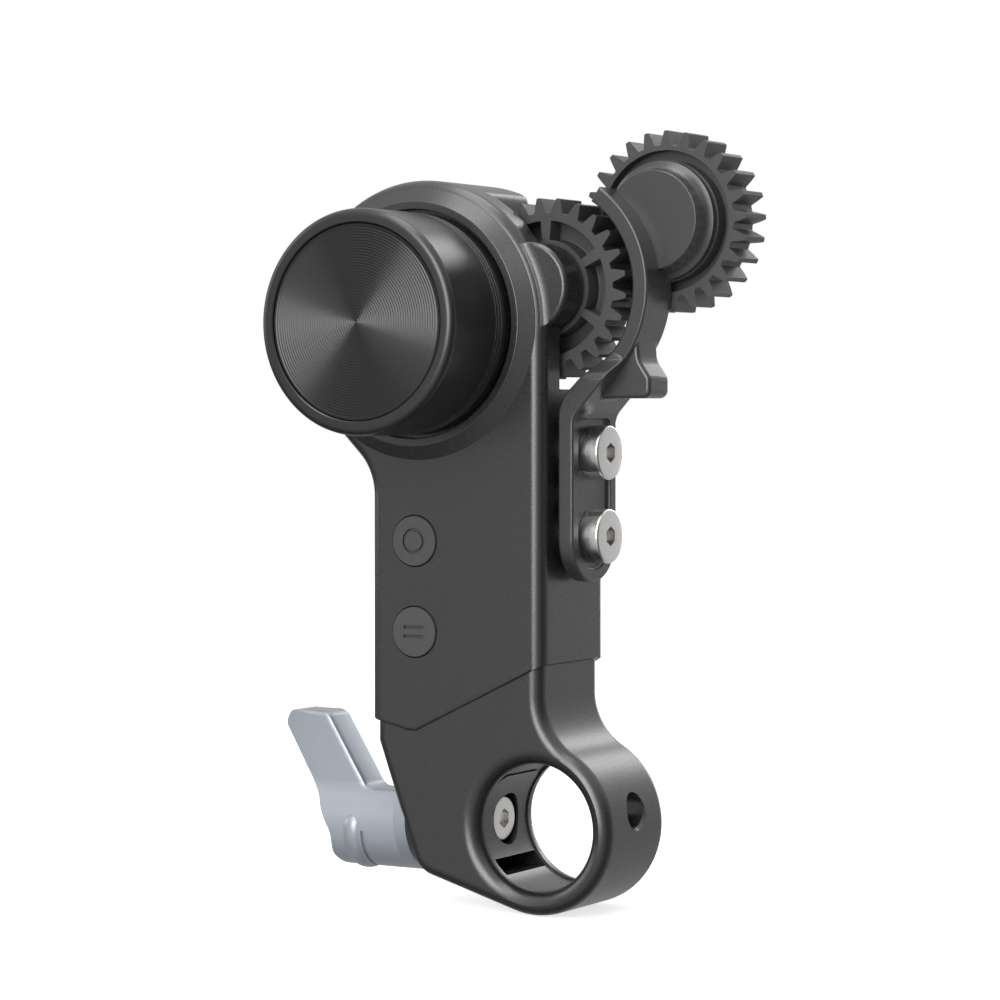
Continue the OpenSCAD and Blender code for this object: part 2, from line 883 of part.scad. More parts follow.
module knob_grip() {
    edge = 0.8;
    groove = 0.25;
    color(casing_colour)
        difference() {
            turned_y(knob_at, [
                [0, web_front],
                [cup_r, web_front],
                [cup_r, knob_front + 0.3],
                [cup_r + 0.3, knob_front],
                [knob_r - edge, knob_front],
                [knob_r, knob_front + edge],
                [knob_r, knob_back],
                [cup_r, knob_back],
                [cup_r, web_back],
                [shaft_r + 2.2, web_back],
                [shaft_r + 2.2, boss_back],
                [0, boss_back]]);
            // Three fine grooves near the casing
            for (n = [0:2])
                ring_y(knob_at, knob_r - groove, knob_r + 1,
                    knob_back - 2 - 0.6 * n, knob_back - 2 - 0.6 * n + groove);
            disc_y(knob_at, shaft_r + press, web_back - 0.6, boss_back + 1);
            disc_y(knob_at, knob_screw_size[1] + running, web_front - 1, boss_back);
            disc_y(knob_at, knob_screw_size[0] + running, web_front - 1,
                web_front + knob_screw_size[2]);
        }
}

module knob_face() {
    color("#3c3c3c")
        disc_y(knob_at, face_r, web_front - face_t, web_front);
}

module knob_shaft() {
    color(steel_colour)
        difference() {
            union() {
                disc_y(knob_at, shaft_r, web_back - 0.6, window_y1);
                disc_y(knob_at, journal_r, window_y1 - 0.01, rear_in - 0.2);
            }
            disc_y(knob_at, knob_screw_size[1] + press, web_back - 1, boss_back);
        }
}

module knob_pinion() {
    color(steel_colour)
        difference() {
            gear_y(knob_at, gear_module, pinion_teeth, backlash,
                drive_angle + 180 / pinion_teeth, drive_y0, drive_y1);
            disc_y(knob_at, shaft_r + press, drive_y0 - 1, drive_y1 + 1);
        }
}

module knob_wheel() {
    color(bronze_colour)
        difference() {
            gear_y(knob_at, wheel_module, wheel_teeth, 0.1, -90, wheel_y0, wheel_y1);
            disc_y(knob_at, shaft_r + press, wheel_y0 - 1, wheel_y1 + 1);
        }
}

module knob_screw() {
    color(screw_colour)
        translate([knob_at[0], web_front + knob_screw_size[2], knob_at[1]])
            rotate([90, 0, 0])
                cap_screw(knob_screw_size, 4.6);
}

module encoder_ring() {
    color("#2b2b2b")
        ring_y(knob_at, spigot_r + 0.6, cup_r - press, -half - 2.6, -half - 1.2);
}

module drive_gear() {
    hub_gap = gear_hub_r - 0.6;
    color(gear_colour)
        difference() {
            gear_y(drive_at, gear_module, gear_teeth, backlash, drive_angle + 180,
                drive_y0, drive_y1);
            // Pockets between the spokes, open at the front
            difference() {
                ring_y(drive_at, gear_hub_r, rim_r, drive_y0 - 1, web_y);
                for (n = [0:5])
                    translate([drive_at[0], drive_y0 - 2, drive_at[1]])
                        rotate([0, -60 * n - 90, 0])
                            translate([0, 0, -spoke_w / 2])
                                cube([gear_tip_r, drive_face + 2, spoke_w]);
            }
            disc_y(drive_at, bush_r + press, drive_y0 - 1, drive_y1 + 1);
            disc_y(drive_at, hub_gap, drive_y0 - 1, drive_y0 + 0.4);
        }
}

module drive_pinion() {
    color(gear_colour)
        difference() {
            gear_y(drive_at, gear_module, pinion_teeth, backlash, idler_angle,
                drive_y1 + 0.01, idler_y1);
            disc_y(drive_at, bush_r + press, drive_y1 - 1, idler_y1 + 1);
        }
}

module drive_bushes() {
    color(bronze_colour) {
        ring_y(drive_at, axle_r + running, bush_r, drive_y0 + 0.2, drive_y1);
        ring_y(drive_at, axle_r + running, bush_r, idler_y1 - 3, idler_y1);
    }
}

module idler_gear() {
    color(gear_colour)
        difference() {
            gear_y(idler_at, gear_module, gear_teeth, backlash,
                idler_angle + 180 + 180 / gear_teeth, idler_y0, idler_y1);
            disc_y(idler_at, dish_r, idler_y0 - 1, idler_y0 + dish_depth);
            disc_y(idler_at, dish_r, idler_y1 - dish_depth, idler_y1 + 1);
            disc_y(idler_at, bush_r + press, idler_y0, idler_y1);
        }
}

module idler_bushes() {
    color(bronze_colour)
        ring_y(idler_at, axle_r + running, bush_r, idler_y0 + dish_depth - 0.1,
            idler_y1 - dish_depth + 0.1);
}

motor_shaft_r = 0.75;
module motor_pinion() {
    color(bronze_colour) {
        gear_y(motor_at, wheel_module, motor_teeth, 0.1, 90 + 180 / motor_teeth,
            wheel_y0, wheel_y1);
        disc_y(motor_at, motor_shaft_r, wheel_y1 - 0.01, motor_y1 - 1.2);
    }
}

module lever_blade_2d() {
    tip_x = hub_x0 - blade_reach;
    low_z = -hub_r - 0.2;
    polygon([
        [hub_x0 + 4.4, 2.6],
        [tip_x + blade_tip_w + 0.7, blade_z - 0.5],
        [tip_x + blade_tip_w, blade_z],
        [tip_x + 0.7, blade_z],
        [tip_x, blade_z - 1.5],
        [hub_x0 - 2.6, 2.6],
        [hub_x0 - 1.6, -0.5],
        [hub_x0 - 1.2, -hub_r / 2],
        [hub_x0 - 0.5, -hub_r + 1.4],
        [hub_x0 + 1.4, low_z],
        [hub_x0 + 4, low_z + 1.2]]);
}

module lever_handle() {
    bead_r = hub_r + 0.2;
    color(lever_colour)
        difference() {
            union() {
                turned_x([
                    [0, hub_x0],
                    [hub_r - 1.2, hub_x0],
                    [bead_r, hub_x0 + 1.2],
                    [bead_r, groove_x - 0.2],
                    [hub_r - 0.4, groove_x],
                    [hub_r, groove_x + 0.3],
                    [hub_r, hub_x1],
                    [0, hub_x1]]);
                along_y(-blade_t / 2, blade_t / 2)
                    lever_blade_2d();
            }
            disc_x([0, 0], spindle_r + press, hub_x0 + 3, hub_x1 + 1);
        }
}

module lever_spindle() {
    color(steel_colour)
        difference() {
            union() {
                disc_x([0, 0], spindle_r, hub_x0 + 3.05, screw_seat_x);
                disc_x([0, 0], spindle_r + 1.1, collar_x0, collar_x1);
            }
            disc_x([0, 0], jaw_screw[1] + press, screw_seat_x - 6, screw_seat_x + 1);
        }
}

module spindle_screw() {
    color(screw_colour)
        translate([screw_seat_x, 0, 0])
            rotate([0, 90, 0])
                cap_screw(jaw_screw, 5);
}

module clamp_jaw() {
    color(casing_colour)
        difference() {
            along_y(-jaw_half, jaw_half)
                difference() {
                    translate([jaw_back, jaw_low_z])
                        square([-jaw_back - jaw_open, jaw_high_z - jaw_low_z]);
                    translate([-jaw_open, 0])
                        circle(r = rod_d / 2);
                }
            disc_x([0, 0], spindle_r + running, jaw_back - 1, 0);
            disc_x([0, 0], jaw_screw[0] + 0.35, screw_seat_x - 0.6, 0);
        }
}

module button(z) {
    color(casing_colour)
        difference() {
            union() {
                disc_y([-button_x, z], button_r, button_face, flange_y1);
                disc_y([-button_x, z], button_r + 0.6, flange_y0, flange_y1);
            }
            disc_y([-button_x, z], button_r - 0.8, flange_y0, flange_y1 - 0.15);
        }
}

module button_upper() {
    button(button_high_z);
}

module button_lower() {
    button(button_low_z);
}

main_housing();
rear_cover();
rear_panel();
cover_screws();
clamp_block();
neck_cover();
block_screws();
guard_bracket();
bracket_screws();
link_plate();
link_screws();
drive_axle();
idler_axle();
knob_bearing();
rear_bush();
motor();
main_board();
button_switches();
battery_cell();
encoder_board();
lever_washer();
knob_grip();
knob_face();
knob_shaft();
knob_pinion();
knob_wheel();
knob_screw();
encoder_ring();
drive_gear();
drive_pinion();
drive_bushes();
idler_gear();
idler_bushes();
motor_pinion();
lever_handle();
lever_spindle();
spindle_screw();
clamp_jaw();
button_upper();
button_lower();
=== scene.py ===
"""Follow focus unit: the dressed model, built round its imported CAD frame.

Shapes are drawn in millimetres in the frame's own axes, X to the gears, Y to the back and Z up,
and brought to metres when each piece is finished.
"""
import json
import math

import bmesh
import bpy
from mathutils import Matrix, Vector


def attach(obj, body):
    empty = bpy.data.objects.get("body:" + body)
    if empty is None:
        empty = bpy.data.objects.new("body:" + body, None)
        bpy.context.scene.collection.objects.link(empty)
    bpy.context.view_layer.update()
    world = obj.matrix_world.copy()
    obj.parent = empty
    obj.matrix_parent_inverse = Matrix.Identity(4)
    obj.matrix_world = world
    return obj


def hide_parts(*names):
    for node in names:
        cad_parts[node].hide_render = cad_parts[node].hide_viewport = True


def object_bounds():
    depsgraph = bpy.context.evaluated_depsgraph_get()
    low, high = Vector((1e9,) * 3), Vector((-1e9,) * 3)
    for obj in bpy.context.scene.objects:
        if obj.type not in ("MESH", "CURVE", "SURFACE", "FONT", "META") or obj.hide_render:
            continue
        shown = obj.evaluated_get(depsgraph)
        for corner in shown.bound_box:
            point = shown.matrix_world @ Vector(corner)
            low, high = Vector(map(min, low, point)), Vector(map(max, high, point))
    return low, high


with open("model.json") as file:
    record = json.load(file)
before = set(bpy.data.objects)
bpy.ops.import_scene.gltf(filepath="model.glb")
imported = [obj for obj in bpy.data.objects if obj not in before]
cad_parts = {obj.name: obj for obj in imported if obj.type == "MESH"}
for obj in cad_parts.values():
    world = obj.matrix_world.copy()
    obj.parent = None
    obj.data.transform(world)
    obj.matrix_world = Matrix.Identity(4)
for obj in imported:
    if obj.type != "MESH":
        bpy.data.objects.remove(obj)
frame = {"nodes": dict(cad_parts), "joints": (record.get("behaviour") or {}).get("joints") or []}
cad_box = [list(corner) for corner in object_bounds()]

bl_info = {
    "name": "Follow focus unit",
    "version": (1, 0, 0),
    "blender": (4, 5, 0),
    "location": "3D View > Sidebar > Follow focus",
    "description": "Builds the dressed pieces of a rod-clamped follow focus unit",
    "category": "Object",
}

MM = 0.001

# Places of the CAD frame, in millimetres in the front view (x, z)
AXES = {joint["name"]: (joint["pos_m"][0] / MM, joint["pos_m"][2] / MM)
        for joint in frame["joints"] if joint["type"] == "hinge"}
KNOB_AT = AXES["knob_turn"]
DRIVE_AT = AXES["drive_turn"]
IDLER_AT = AXES["idler_turn"]
MOTOR_AT = AXES["motor_turn"]
IDLER_ANGLE = math.degrees(math.atan2(IDLER_AT[1] - DRIVE_AT[1], IDLER_AT[0] - DRIVE_AT[0]))
UPPER_BUTTON_AT = (-15.8, 33.6)
LOWER_BUTTON_AT = (-15.8, 22.7)
GUARD_BOLTS_Z = (34.35, 44.25)

# Radii of the holes for axles, gear hubs, the lever's spindle and buttons
AXLE_HOLE = 2.01
HUB_HOLE = 3.01
SPINDLE_HOLE = 2.54
LEVER_HOLE = 2.51
BUTTON_HOLE = 3.15


# Drawing tools

class Pen:
    """Draws an outline in the front view from straight runs and arcs."""

    def __init__(self, x, z):
        self.bm = bmesh.new()
        self.first = self.last = self.bm.verts.new((x, 0, z))

    def line(self, x, z):
        """Runs straight to a point."""
        new = bmesh.ops.extrude_vert_indiv(self.bm, verts=[self.last])["verts"][0]
        new.co = (x, 0, z)
        self.last = new

    def arc(self, centre, end, turn, steps):
        """Swings round a centre to the direction of an end point; turn is 1 for counterclockwise."""
        start = math.atan2(self.last.co.z - centre[1], self.last.co.x - centre[0])
        stop = math.atan2(end[1] - centre[1], end[0] - centre[0])
        angle = (stop - start) * turn % (2 * math.pi) * turn
        out = bmesh.ops.spin(self.bm, geom=[self.last], cent=(centre[0], 0, centre[1]),
                             axis=(0, -1, 0), angle=angle, steps=steps)
        self.last = next(g for g in out["geom_last"] if isinstance(g, bmesh.types.BMVert))

    def close(self):
        """Joins the end to the start and fills the outline with one face."""
        if (self.first.co - self.last.co).length > 0.01:
            self.bm.edges.new((self.last, self.first))
        bmesh.ops.remove_doubles(self.bm, verts=self.bm.verts, dist=0.005)
        bmesh.ops.contextual_create(self.bm, geom=self.bm.edges[:])
        return self.bm


def soften(bm, vert, radius, steps=5):
    """Rounds one corner of a flat outline."""
    reach = radius * math.tan(vert.calc_edge_angle() / 2)
    bmesh.ops.bevel(bm, geom=[vert], offset=reach, offset_type="OFFSET", segments=steps,
                    profile=0.5, affect="VERTICES", material=-1, clamp_overlap=False)


def flat(points):
    """A filled outline in the front view; each point is (x, z) or (x, z, corner radius)."""
    bm = bmesh.new()
    verts = [bm.verts.new((p[0], 0, p[1])) for p in points]
    bm.faces.new(verts)
    large = 3
    for vert, p in zip(verts, points):
        if len(p) > 2 and p[2] > 0:
            soften(bm, vert, p[2], 14 if p[2] > large else 5)
    return bm


def disc(at, radius, steps):
    """A filled circle in the front view."""
    bm = bmesh.new()
    turn = Matrix.Translation((at[0], 0, at[1])) @ Matrix.Rotation(math.pi / 2, 4, "X")
    bmesh.ops.create_circle(bm, cap_ends=True, segments=steps, radius=radius, matrix=turn)
    return bm


def thicken(bm, start, reach):
    """Moves a filled outline to its start and gives it its depth."""
    bmesh.ops.translate(bm, vec=start, verts=bm.verts)
    out = bmesh.ops.extrude_face_region(bm, geom=bm.faces[:])
    new = [g for g in out["geom"] if isinstance(g, bmesh.types.BMVert)]
    bmesh.ops.translate(bm, vec=reach, verts=new)
    bmesh.ops.recalc_face_normals(bm, faces=bm.faces[:])
    return bm


def solid(bm, y0, y1):
    """Gives an outline in the front view its depth from y0 to y1."""
    return thicken(bm, (0, y0, 0), (0, y1 - y0, 0))


def rod_y(at, radius, y0, y1, steps=96):
    """A cylinder along Y; at is (x, z)."""
    return solid(disc(at, radius, steps), y0, y1)


def rod_x(at, radius, x0, x1, steps=64):
    """A cylinder along X; at is (y, z)."""
    bm = bmesh.new()
    place = Matrix.Translation(((x0 + x1) / 2, at[0], at[1])) @ Matrix.Rotation(math.pi / 2, 4, "Y")
    bmesh.ops.create_cone(bm, cap_ends=True, segments=steps, radius1=radius, radius2=radius,
                          depth=x1 - x0, matrix=place)
    return bm


def block(x0, x1, y0, y1, z0, z1):
    """A box between two values on each axis."""
    bm = bmesh.new()
    size = Matrix.Diagonal((x1 - x0, y1 - y0, z1 - z0, 1))
    place = Matrix.Translation(((x0 + x1) / 2, (y0 + y1) / 2, (z0 + z1) / 2))
    bmesh.ops.create_cube(bm, size=1, matrix=place @ size)
    return bm


def turned(at, profile, axis="Y", steps=128, angle=360.0):
    """A closed profile turned about an axis along Y or X. Each point is (radius, along) or
    (radius, along, corner radius); at is the axis's place in the plane across it."""
    bm = bmesh.new()
    verts = [bm.verts.new((p[0], p[1], 0)) for p in profile]
    bm.faces.new(verts)
    for vert, p in zip(verts, profile):
        if len(p) > 2 and p[2] > 0:
            soften(bm, vert, p[2])
    if angle == 360.0:
        bmesh.ops.delete(bm, geom=bm.faces[:], context="FACES_ONLY")
        core = [e for e in bm.edges if all(abs(v.co.x) < 1e-6 for v in e.verts)]
        bmesh.ops.delete(bm, geom=core, context="EDGES")
    bmesh.ops.spin(bm, geom=bm.verts[:] + bm.edges[:] + bm.faces[:], cent=(0, 0, 0), axis=(0, 1, 0),
                   angle=math.radians(angle), steps=steps, use_merge=angle == 360.0)
    bmesh.ops.remove_doubles(bm, verts=bm.verts, dist=1e-4)
    if axis == "X":
        bmesh.ops.rotate(bm, verts=bm.verts, matrix=Matrix.Rotation(-math.pi / 2, 3, "Z"))
        bmesh.ops.translate(bm, vec=(0, at[0], at[1]), verts=bm.verts)
    else:
        bmesh.ops.translate(bm, vec=(at[0], 0, at[1]), verts=bm.verts)
    bmesh.ops.recalc_face_normals(bm, faces=bm.faces[:])
    return bm


def section(node, y, rank=0):
    """The outline of a CAD node at one depth, filled, at y = 0; rank 1 is its second largest loop."""
    bm = bmesh.new()
    bm.from_mesh(frame["nodes"][node].data)
    bmesh.ops.scale(bm, vec=(1 / MM,) * 3, verts=bm.verts)
    bmesh.ops.remove_doubles(bm, verts=bm.verts, dist=0.002)
    bmesh.ops.bisect_plane(bm, geom=bm.verts[:] + bm.edges[:] + bm.faces[:], dist=1e-4,
                           plane_co=(0, y, 0), plane_no=(0, 1, 0), clear_inner=True, clear_outer=True)
    bmesh.ops.remove_doubles(bm, verts=bm.verts, dist=0.005)
    loops = []
    left = set(bm.verts)
    while left:
        loop, todo = set(), [next(iter(left))]
        while todo:
            vert = todo.pop()
            if vert not in loop:
                loop.add(vert)
                todo += [e.other_vert(vert) for e in vert.link_edges]
        left -= loop
        low = [min(v.co[i] for v in loop) for i in range(3)]
        high = [max(v.co[i] for v in loop) for i in range(3)]
        loops.append((math.dist(low, high), loop))
    loops.sort(key=lambda pair: -pair[0])
    keep = loops[rank][1]
    bmesh.ops.delete(bm, geom=[v for v in bm.verts if v not in keep], context="VERTS")
    straight = [v for v in bm.verts if v.calc_edge_angle(1.0) < math.radians(0.15)]
    bmesh.ops.dissolve_verts(bm, verts=straight)
    bmesh.ops.contextual_create(bm, geom=bm.edges[:])
    bmesh.ops.translate(bm, vec=(0, -y, 0), verts=bm.verts)
    return bm


def side_on(bm):
    """Turns an outline drawn as (y, z) from the front view into the side view."""
    bmesh.ops.rotate(bm, verts=bm.verts, matrix=Matrix.Rotation(math.pi / 2, 3, "Z"))
    return bm


def soft_corners(bm, radius, least=20.0):
    """Rounds the corners of an outline that turn by more than least degrees, and not its arcs."""
    corners = [v for v in bm.verts if v.calc_edge_angle(0) > math.radians(least)]
    for vert in corners:
        soften(bm, vert, radius)
    return bm


def sharp_over(degrees):
    """Chooses the edges that turn by more than an angle."""
    return lambda e: e.is_manifold and e.calc_face_angle(0) > math.radians(degrees)


def at_depth(y):
    """Chooses the edges that lie at one depth."""
    return lambda e: all(abs(v.co.y - y) < 0.002 for v in e.verts)


def round_edges(bm, chosen, radius, steps):
    """Rounds the edges for which chosen is true."""
    edges = [e for e in bm.edges if chosen(e)]
    bmesh.ops.bevel(bm, geom=edges, offset=radius, offset_type="OFFSET", segments=steps,
                    profile=0.5, affect="EDGES", material=-1, clamp_overlap=False)
    return bm


def combine(bm, tool, mode="DIFFERENCE"):
    """Cuts, joins or crosses two closed shapes; both are used up."""
    pair = []
    for shape in (bm, tool):
        mesh = bpy.data.meshes.new("work")
        shape.to_mesh(mesh)
        shape.free()
        obj = bpy.data.objects.new("work", mesh)
        bpy.context.scene.collection.objects.link(obj)
        pair.append(obj)
    step = pair[0].modifiers.new("step", "BOOLEAN")
    step.object = pair[1]
    step.operation = mode
    step.solver = "EXACT"
    graph = bpy.context.evaluated_depsgraph_get()
    made = bpy.data.meshes.new_from_object(pair[0].evaluated_get(graph), depsgraph=graph)
    out = bmesh.new()
    out.from_mesh(made)
    for obj in pair:
        mesh = obj.data
        bpy.data.objects.remove(obj)
        bpy.data.meshes.remove(mesh)
    bpy.data.meshes.remove(made)
    bmesh.ops.remove_doubles(out, verts=out.verts, dist=0.002)
    return out


def cut(bm, *tools):
    """Cuts closed shapes out of another, one after the other."""
    for tool in tools:
        bm = combine(bm, tool)
    return bm


def gather(bm, *others):
    """Puts separate shells into one piece."""
    for other in others:
        mesh = bpy.data.meshes.new("work")
        other.to_mesh(mesh)
        other.free()
        bm.from_mesh(mesh)
        bpy.data.meshes.remove(mesh)
    return bm


def piece(name, bm, material, body, replaces=(), sharp=32.0):
    """Finishes a shape: metres, shading, material and its place in the frame."""
    if not bm.faces:
        raise RuntimeError(name + " has no faces")
    bmesh.ops.scale(bm, vec=(MM,) * 3, verts=bm.verts)
    bmesh.ops.recalc_face_normals(bm, faces=bm.faces[:])
    for face in bm.faces:
        face.smooth = True
    for edge in bm.edges:
        edge.smooth = edge.is_manifold and edge.calc_face_angle(0) < math.radians(sharp)
    mesh = bpy.data.meshes.new(name)
    bm.to_mesh(mesh)
    bm.free()
    obj = bpy.data.objects.new(name, mesh)
    bpy.context.scene.collection.objects.link(obj)
    shade = obj.modifiers.new("even shading", "WEIGHTED_NORMAL")
    shade.keep_sharp = True
    mesh.materials.append(material)
    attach(obj, body)
    if replaces:
        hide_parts(*replaces)


# Finishes

def add_node(tree, kind, values=None):
    """A new shader node with values set on its inputs."""
    node = tree.nodes.new("ShaderNode" + kind)
    for name, value in (values or {}).items():
        node.inputs[name].default_value = value
    return node


def finish(name, base, roughness, metallic=0.0, specular=0.5, grain=3000.0, grain_depth=0.02,
           tone=0.06, spread=0.06):
    """A blasted, moulded or turned surface: fine grain in bump and gloss, slow drift in tone."""
    if name in bpy.data.materials:
        return bpy.data.materials[name]
    mat = bpy.data.materials.new(name)
    mat.use_nodes = True
    tree = mat.node_tree
    link = tree.links.new
    shader = tree.nodes["Principled BSDF"]
    shader.inputs["Metallic"].default_value = metallic
    shader.inputs["Specular IOR Level"].default_value = specular
    where = add_node(tree, "TexCoord")

    drift = add_node(tree, "TexNoise", {"Scale": 90.0, "Detail": 4.0})
    link(where.outputs["Object"], drift.inputs["Vector"])
    tint = add_node(tree, "ValToRGB")
    dark, light = tint.color_ramp.elements
    dark.position, light.position = 0.3, 0.7
    dark.color = [c * (1 - tone) for c in base[:3]] + [1]
    light.color = [min(1, c * (1 + tone)) for c in base[:3]] + [1]
    link(drift.outputs["Fac"], tint.inputs["Fac"])
    link(tint.outputs["Color"], shader.inputs["Base Color"])

    fine = add_node(tree, "TexNoise", {"Scale": grain, "Detail": 2.0})
    link(where.outputs["Object"], fine.inputs["Vector"])
    gloss = add_node(tree, "MapRange", {
        "From Min": 0.3, "From Max": 0.7,
        "To Min": max(0.02, roughness - spread), "To Max": min(1.0, roughness + spread)})
    link(fine.outputs["Fac"], gloss.inputs["Value"])
    link(gloss.outputs["Result"], shader.inputs["Roughness"])
    bump = add_node(tree, "Bump", {"Strength": 0.35, "Distance": grain_depth * MM})
    link(fine.outputs["Fac"], bump.inputs["Height"])
    link(bump.outputs["Normal"], shader.inputs["Normal"])
    return mat


def colours():
    """The colours that a user can change."""
    return bpy.context.scene.focus_colours


def sizes():
    """The sizes that a user can change, in metres."""
    return bpy.context.scene.focus_sizes


def casing_black():
    return finish("satin black casing", colours().casing, 0.3, specular=1.0, grain=5200.0,
                  grain_depth=0.008, spread=0.04)


def guard_black():
    return finish("black anodised guard", colours().guard, 0.3, specular=0.9, grain=5200.0,
                  grain_depth=0.008, spread=0.03)


def gear_black():
    return finish("moulded gear", colours().gear, 0.45, specular=0.45, grain=2600.0, tone=0.1)


def knob_black():
    return finish("black turned knob", colours().knob, 0.3, specular=0.8, grain=4200.0,
                  grain_depth=0.002, spread=0.02)


def ringed_black():
    return finish("ringed knob disc", colours().knob_disc, 0.24, specular=0.55, grain=9000.0,
                  grain_depth=0.001, spread=0.02)


def button_black():
    return finish("button", colours().casing, 0.46, specular=0.4, grain=5200.0)


def lever_grey():
    return finish("blasted blue-grey lever", colours().lever, 0.37, metallic=0.5, grain=3600.0,
                  grain_depth=0.012)


def link_silver():
    return finish("blasted silver link", colours().link, 0.38, metallic=0.45, grain=3600.0,
                  grain_depth=0.03)


def nickel():
    return finish("nickel plated screw", colours().screw, 0.26, metallic=1.0, grain=900.0,
                  grain_depth=0.0, spread=0.01)


def panel_grey():
    return finish("grained grey panel", colours().panel, 0.6, specular=0.35, grain=1900.0,
                  grain_depth=0.05, tone=0.05)


# Sizes and colours

def length(name, text, millimetres):
    return bpy.props.FloatProperty(name=name, description=text, default=millimetres * MM, min=0.0,
                                   precision=5, subtype="DISTANCE", unit="LENGTH")


def colour(name, where, value):
    return bpy.props.FloatVectorProperty(name=name, description="Colour of the " + where, default=value,
                                         size=3, min=0.0, max=1.0, subtype="COLOR")


class FocusSizes(bpy.types.PropertyGroup):
    """Sizes of the unit's rounded edges and fine details."""
    casing_edge: length("Casing edge", "Radius of the casing's long front and rear edges", 1.6)
    notch_edge: length("Notch edge", "Radius of the rear edges round the gear notch", 1.4)
    mouth_edge: length("Bore edge", "Radius of the rounding at the mouth of the rod bore", 1.9)
    knob_edge: length("Knob edge", "Radius of the knob's front edge", 0.9)
    ring_pitch: length("Ring pitch", "Distance between the fine rings on the knob's face", 0.33)
    ring_depth: length("Ring depth", "Depth of the fine rings on the knob's face", 0.055)
    guard_edge: length("Guard edge", "Radius of the gear guard's edges", 0.3)
    link_edge: length("Link edge", "Radius of the link plate's edges", 0.3)
    lever_edge: length("Lever edge", "Width of the bevel along the lever's blade", 0.8)


class FocusColours(bpy.types.PropertyGroup):
    """Colours of the unit's finishes."""
    casing: colour("Casing", "painted casing and clamp block", (0.014, 0.014, 0.014))
    knob: colour("Knob", "turned knob", (0.009, 0.009, 0.009))
    knob_disc: colour("Knob disc", "knob's ringed face", (0.005, 0.005, 0.005))
    guard: colour("Guard", "gear guard", (0.028, 0.028, 0.028))
    gear: colour("Gear", "moulded gears", (0.054, 0.054, 0.054))
    panel: colour("Panel", "grained rear panel", (0.39, 0.39, 0.39))
    stripe: colour("Stripe", "stripes on the rear panel", (0.09, 0.09, 0.09))
    lever: colour("Lever", "clamp lever", (0.37, 0.395, 0.44))
    link: colour("Link", "link plate", (0.6, 0.63, 0.68))
    screw: colour("Screw", "bright screws", (0.8, 0.79, 0.78))


# Casing

HEAD_R = 17.3
NOTCH_R = 12.3
HORN_R = 1.6
SHANK = (-22.2, 1.7)
WAIST_AT = (-29.2, 38.94)
WAIST_R = 7.0
STEP = ((-22.2, 12.2), (-17.0, 10.8), (-15.8, 10.8), (1.7, 19.4))
HALF = 7.8
NOTCH_Y = -3.5
LOBE_Y = -HALF + 0.8
LOBE_R = 5.4
SMALL_EDGE = 0.6
PANEL_CORNER = 0.8

# The hollow inside the casing
HOLLOW_X = (-20.7, 0.2)
HOLLOW_Z = (20.1, 44)
HOLLOW_Y = (-6.6, 6.25)
MOTOR_BORE = 6.02
WHEEL_BORE = 11.2
BUSH_BORE = 6.4
FRONT_SHAFT_HOLE = 2.4
REAR_SHAFT_HOLE = 2.46


def crossing(a, ra, b, rb):
    """Where two circles cross, on the left of the line from a to b."""
    a, b = Vector(a), Vector(b)
    d = (b - a).length
    u = (b - a) / d
    t = (ra * ra - rb * rb + d * d) / (2 * d)
    return tuple(a + u * t + Vector((-u.y, u.x)) * math.sqrt(ra * ra - t * t))


def on_circle(centre, radius, degrees):
    """The point of a circle in one direction."""
    a = math.radians(degrees)
    return (centre[0] + radius * math.cos(a), centre[1] + radius * math.sin(a))


def casing_outline(notched):
    """The casing's outline, with the gear notch and its rounded horn or with the whole head."""
    reach = math.sqrt(HEAD_R ** 2 - (SHANK[1] - KNOB_AT[0]) ** 2)
    if notched:
        drop = math.sqrt(NOTCH_R ** 2 - (SHANK[1] - DRIVE_AT[0]) ** 2)
        pen = Pen(SHANK[1], DRIVE_AT[1] - drop)
        horn = crossing(KNOB_AT, HEAD_R - HORN_R, DRIVE_AT, NOTCH_R + HORN_R)
        pen.arc(DRIVE_AT, horn, -1, 40)
        pen.arc(horn, (2 * horn[0] - KNOB_AT[0], 2 * horn[1] - KNOB_AT[1]), 1, 10)
    else:
        pen = Pen(SHANK[1], KNOB_AT[1] - reach)
    pen.arc(KNOB_AT, on_circle(KNOB_AT, 1, 225), 1, 72)
    pen.line(*on_circle(WAIST_AT, WAIST_R, 45))
    pen.arc(WAIST_AT, on_circle(WAIST_AT, 1, 0), -1, 10)
    for x, z in STEP:
        pen.line(x, z)
    return pen.close()


def round_casing(bm, y, radius):
    """Rounds the casing's edges at one depth, and those of the step with a smaller radius."""
    def along_step(e):
        return all(v.co.z < STEP[3][1] + 0.01 for v in e.verts)

    round_edges(bm, lambda e: at_depth(y)(e) and not along_step(e), radius, 8)
    round_edges(bm, lambda e: at_depth(y)(e) and along_step(e), SMALL_EDGE, 4)


def casing_front():
    """The front half: the whole head, the lobe round the drive axle and the front bores."""
    bm = solid(casing_outline(False), -HALF, NOTCH_Y)
    round_casing(bm, -HALF, sizes().casing_edge / MM)
    lobe = rod_y(DRIVE_AT, LOBE_R, LOBE_Y, NOTCH_Y)
    round_edges(lobe, at_depth(LOBE_Y), SMALL_EDGE, 5)
    return cut(
        combine(bm, lobe, "UNION"),
        block(*HOLLOW_X, HOLLOW_Y[0], 0, *HOLLOW_Z),
        rod_y(KNOB_AT, WHEEL_BORE, HOLLOW_Y[0], 0),
        rod_y(MOTOR_AT, MOTOR_BORE, HOLLOW_Y[0], 0),
        rod_y(KNOB_AT, FRONT_SHAFT_HOLE, -9, 0, 48),
        rod_y(DRIVE_AT, AXLE_HOLE, -6.4, 0, 48),
        rod_y(UPPER_BUTTON_AT, BUTTON_HOLE, -9, 0),
        rod_y(LOWER_BUTTON_AT, BUTTON_HOLE, -9, 0))


